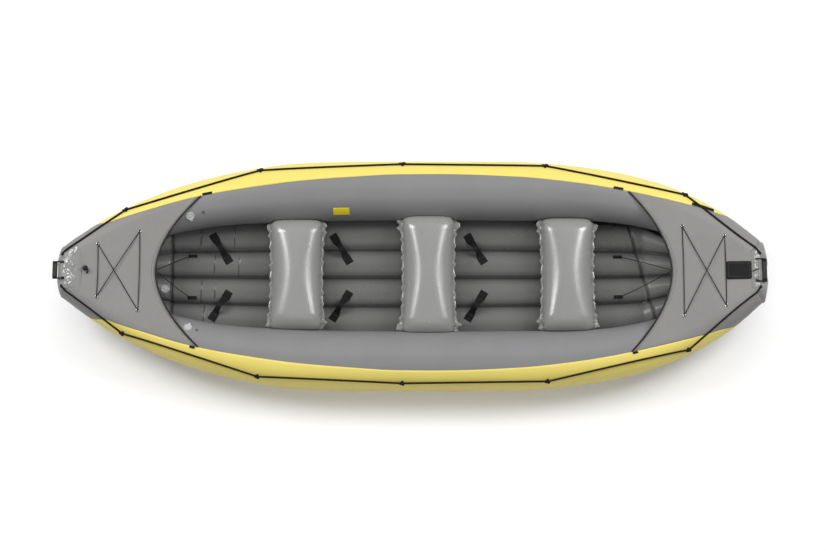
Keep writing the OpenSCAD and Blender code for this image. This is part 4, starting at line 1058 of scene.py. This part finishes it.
# Carrying handles: webbing loops round a grip, on bars anchored to the noses.
# End, length of the grip, and station and height of the grip and of the bar.
HANDLES = {"bow": (-1, 0.112, (-2.247, 0.431672), (-2.19359, 0.437672)),
           "stern": (1, 0.150, (2.20786, 0.422462), (2.15586, 0.442462))}
ARM_IN = 0.004
ARM_BAND = (0.0078, 0.0016)
ARM_EYE_R = 0.0052
ARM_APART = (0.0030, 0.0022)
GRIP_BAND = (0.030, 0.0058)
SLEEVE_BAND = (0.0316, 0.0082)
SLEEVE_SHARE = 0.72
COVER_HALF = 0.020
COVER_IN = 0.012
COVER_OFF = 0.0052
COVER_OVER = 0.0050
for label, (end, grip_l, (gx, gz), (hx, hz)) in HANDLES.items():
    body = f"{label}_handle"
    nodes[f"handle_anchor_{label}"].data.materials[0] = TRIM
    half = grip_l / 2
    out = unit(np.array([gx - hx, 0, gz - hz]))
    lift = np.array([-out[2] * end, 0, out[0] * end])
    parts = []
    for side in (-1, 1):
        yv = side * (half - ARM_IN)
        h, g = np.array([hx, yv, hz]), np.array([gx, yv, gz])
        eye = [h - out * ARM_EYE_R * math.cos(a) + lift * ARM_EYE_R * math.sin(a)
               for a in np.linspace(-1.7, 1.7, 13)]
        mid = lerp(h, g, 0.6)
        run = [g - lift * ARM_APART[1], mid - lift * ARM_APART[0], *eye, mid + lift * ARM_APART[0],
               g + lift * ARM_APART[1]]
        parts.append(band(f"handle_arm_{label}_{side}", spline(run, 70), *ARM_BAND, WEBBING,
                          up=(0, 1, 0), twist=90.0, body=body))
    # Patch of hull cloth over the bar, between the arms
    u, v = net(np.linspace(-1, 1, 30), np.linspace(-1, 1, 30))
    px = hx + COVER_HALF * u
    cover = xyz(px, (half - COVER_IN) * v, lerp(crest_z(px) + COVER_OFF, hz + COVER_OVER, bell(u, 0.48)))
    cover[..., 2] += 0.0018 * rough(cover, 60.0, 7.0)
    sheet(f"handle_cover_{label}", cover, NOSE, thickness=0.001)
    bar = np.linspace([gx, -half, gz], [gx, half, gz], 60)
    parts.append(band(f"handle_bar_{label}", bar, *GRIP_BAND, WEBBING, body=body))
    joined(f"handle_loop_{label}", parts, replaced=(f"handle_{label}",))
    reach = half * SLEEVE_SHARE
    sleeve = np.linspace([gx, -reach, gz], [gx, reach, gz], 50)
    band(f"handle_sleeve_{label}", sleeve, *SLEEVE_BAND, TRIM, body=body)

# Toggle on the bow deck, with the tail of its cord
TOGGLE = (-2.056, 0.010)
TOGGLE_R = 0.017
TOGGLE_OFF = 0.0027
TAIL = [(-2.046, 0.004), (-2.040, -0.004), (-2.042, -0.014), (-2.050, -0.022)]
TAIL_R = 0.003
TAIL_OFF = 0.0062
place = Matrix.Translation(on_deck(*TOGGLE, TOGGLE_OFF)) @ Matrix.Rotation(-crest_pitch(TOGGLE[0]), 4, "Y")
profile = [(0.0085, 0.0), (0.0088, 0.006), (0.0105, 0.0082)]
profile += [(TOGGLE_R * math.cos(a), TOGGLE_R + TOGGLE_R * math.sin(a)) for a in np.linspace(-0.75, 1.5, 14)]
lathe("toggle", profile, place, TRIM, sides=40, replaced=("bow_toggle",))
path = spline([on_deck(*at, TAIL_OFF) for at in TAIL], 30)
rope("toggle_tail", path, TAIL_R, CORD, sides=10)

# Flat pocket on the stern deck, its flap and the cord that ties it to the nose
POCKET = (1.967, 2.124)
POCKET_W = 0.112
POCKET_ROUND = 0.012
POCKET_T = 0.0028
POCKET_OFF = 0.0041
FLAP_IN = 0.004
FLAP_OFF = 0.0078
STITCH_IN = (0.010, 0.014)
STITCH_OFF = 0.0094
STITCH_R = 0.0006


def pocket_grid(inset, off, round_r, rows=48, columns=40):
    """Rounded rectangle that follows the deck."""
    x0, x1, w = POCKET[0] + inset, POCKET[1] - inset, POCKET_W / 2 - inset
    u = np.linspace(0, 1, rows)[:, None]
    xs = lerp(x0, x1, (1 - np.cos(math.pi * u)) / 2)
    near = np.minimum(xs - x0, x1 - xs)
    cut = round_r - np.sqrt(np.maximum(0, round_r**2 - np.maximum(0, round_r - near) ** 2))
    return xyz(xs, (w - cut) * np.linspace(-1, 1, columns), crest_z(xs) + off)


grid = pocket_grid(0.0, POCKET_OFF, POCKET_ROUND)
sheet("pocket_base", grid, CLOTH, thickness=POCKET_T, replaced=("stern_pocket",))
grid = pocket_grid(FLAP_IN, FLAP_OFF, POCKET_ROUND)
grid[..., 2] += 0.0012 * rough(grid, 24.0, 9.0)
sheet("pocket_flap_cloth", grid, CLOTH, thickness=POCKET_T, body="pocket_flap",
      replaced=("stern_pocket_flap",))
for inset in STITCH_IN:
    edge = pocket_grid(inset, STITCH_OFF, 0.010, 30, 16)
    ring = np.concatenate([edge[:, 0], edge[-1, 1:], edge[-2::-1, -1], edge[0, -2::-1]])
    rope(f"pocket_stitch_{int(inset * 1000)}", even(ring, 200), STITCH_R, THREAD, sides=6, body="pocket_flap")
stem = [on_deck(2.126, -0.010, 0.0062), on_deck(2.138, -0.005, 0.0100), (2.156, 0.002, 0.4520),
        (2.170, 0.007, 0.4500)]
rope("pocket_cord", spline(stem, 40), 0.0022, CORD, sides=10)

# Plain label inside the starboard tube
LABEL_X = -0.461
LABEL_HALF = 0.052
LABEL_ANGLES = (-53, 9)
u, v = net(np.linspace(-1, 1, 30), np.linspace(-1, 1, 20))
grid = tube_point(LABEL_X + LABEL_HALF * u, 1, LABEL_ANGLES[0] + LABEL_ANGLES[1] * v, 0.0016)
sheet("label_plate", grid, LABEL, thickness=0.0008, replaced=("tube_label",))

# Webbing tabs at the decks' corners and one strip on the stern seam:
# station, side, half length, width and degrees below the seam
SEAM_TABS = [(-1.300, 1, 0.030, 0.016, 2.5), (-1.375, -1, 0.016, 0.014, 2.5), (1.300, 1, 0.030, 0.016, 2.5),
             (1.385, -1, 0.016, 0.014, 2.5), (1.800, 1, 0.060, 0.026, 5.0)]
SEAM_TAB_OFF = 0.0046
SEAM_TAB_T = 0.0022
for i, (x, side, half, w, below) in enumerate(SEAM_TABS):
    xs = np.linspace(x - half, x + half, 24)
    angle = seam_angle(xs) + below
    path = tube_point(xs, side, angle, SEAM_TAB_OFF)
    up = unit((path - tube_point(xs, side, angle)).mean(0))
    band(f"seam_tab_{i}", path, w, SEAM_TAB_T, WEBBING, up=up)

# Camera at the photograph's angle
CAMERA_TILT = math.radians(8.35)
CAMERA_FAR = 10.0
LOOK_AT = Vector((0.0, 0.0, 0.19))
camera = bpy.data.cameras.new("camera")
camera.sensor_width = 36.0
camera.lens = 67.8
view = link(bpy.data.objects.new("camera", camera))
view.location = LOOK_AT + CAMERA_FAR * Vector((0, -math.sin(CAMERA_TILT), math.cos(CAMERA_TILT)))
view.rotation_euler = (CAMERA_TILT, 0, 0)
scene.camera = view

# Plain pale floor, paler to the camera than to the light, under a white sky
GROUND_PALE = (0.75, 0.75, 0.75, 1)
GROUND_SEEN = (0.99, 0.99, 0.99, 1)
SKY_LIGHT = 0.15
SKY_SEEN = 1.0
ground, tree, shader = node_material("studio_floor", 0.9, specular=0.0)
seen = add_node(tree, "LightPath").outputs["Is Camera Ray"]
tree.links.new(mix_colour(tree, seen, GROUND_PALE, GROUND_SEEN), shader.inputs["Base Color"])
bpy.ops.mesh.primitive_plane_add(size=40, location=(0, 0, -0.0005))
studio = bpy.context.object
studio.name = "studio_floor"
studio.data.materials.append(ground)

world = bpy.data.worlds.new("studio")
scene.world = world
world.use_nodes = True
tree = world.node_tree
sky = tree.nodes["Background"]
sky.inputs["Color"].default_value = (1, 1, 1, 1)
seen = add_node(tree, "LightPath").outputs["Is Camera Ray"]
level = add_node(tree, "MapRange", {"Value": seen, "To Min": SKY_LIGHT, "To Max": SKY_SEEN})
tree.links.new(level.outputs["Result"], sky.inputs["Strength"])


def lamp(name, at, to, size, power):
    light = bpy.data.lights.new(name, "AREA")
    light.shape = "RECTANGLE"
    light.size, light.size_y = size
    light.energy = power
    obj = link(bpy.data.objects.new(name, light))
    obj.location = at
    obj.rotation_euler = (Vector(to) - Vector(at)).to_track_quat("-Z", "Y").to_euler()
    return obj


# A broad sun, a strip light off each end for the seats' highlights, and a fill
sun = bpy.data.lights.new("key", "SUN")
sun.energy = 1.15
sun.angle = math.radians(52)
key = link(bpy.data.objects.new("key", sun))
key.rotation_euler = (math.radians(-32), 0, 0)
key.visible_glossy = False
for label, end in ENDS:
    lamp(f"strip_{label}", (end * 5.7, 3.0, 6.0), (0, 0.1, 0.2), (3.0, 3.2), 320)
fill = lamp("fill", (0, -3.8, 7.0), (0, 0, 0.2), (6.0, 2.0), 150)
fill.visible_glossy = False

scene.view_settings.view_transform = "Standard"
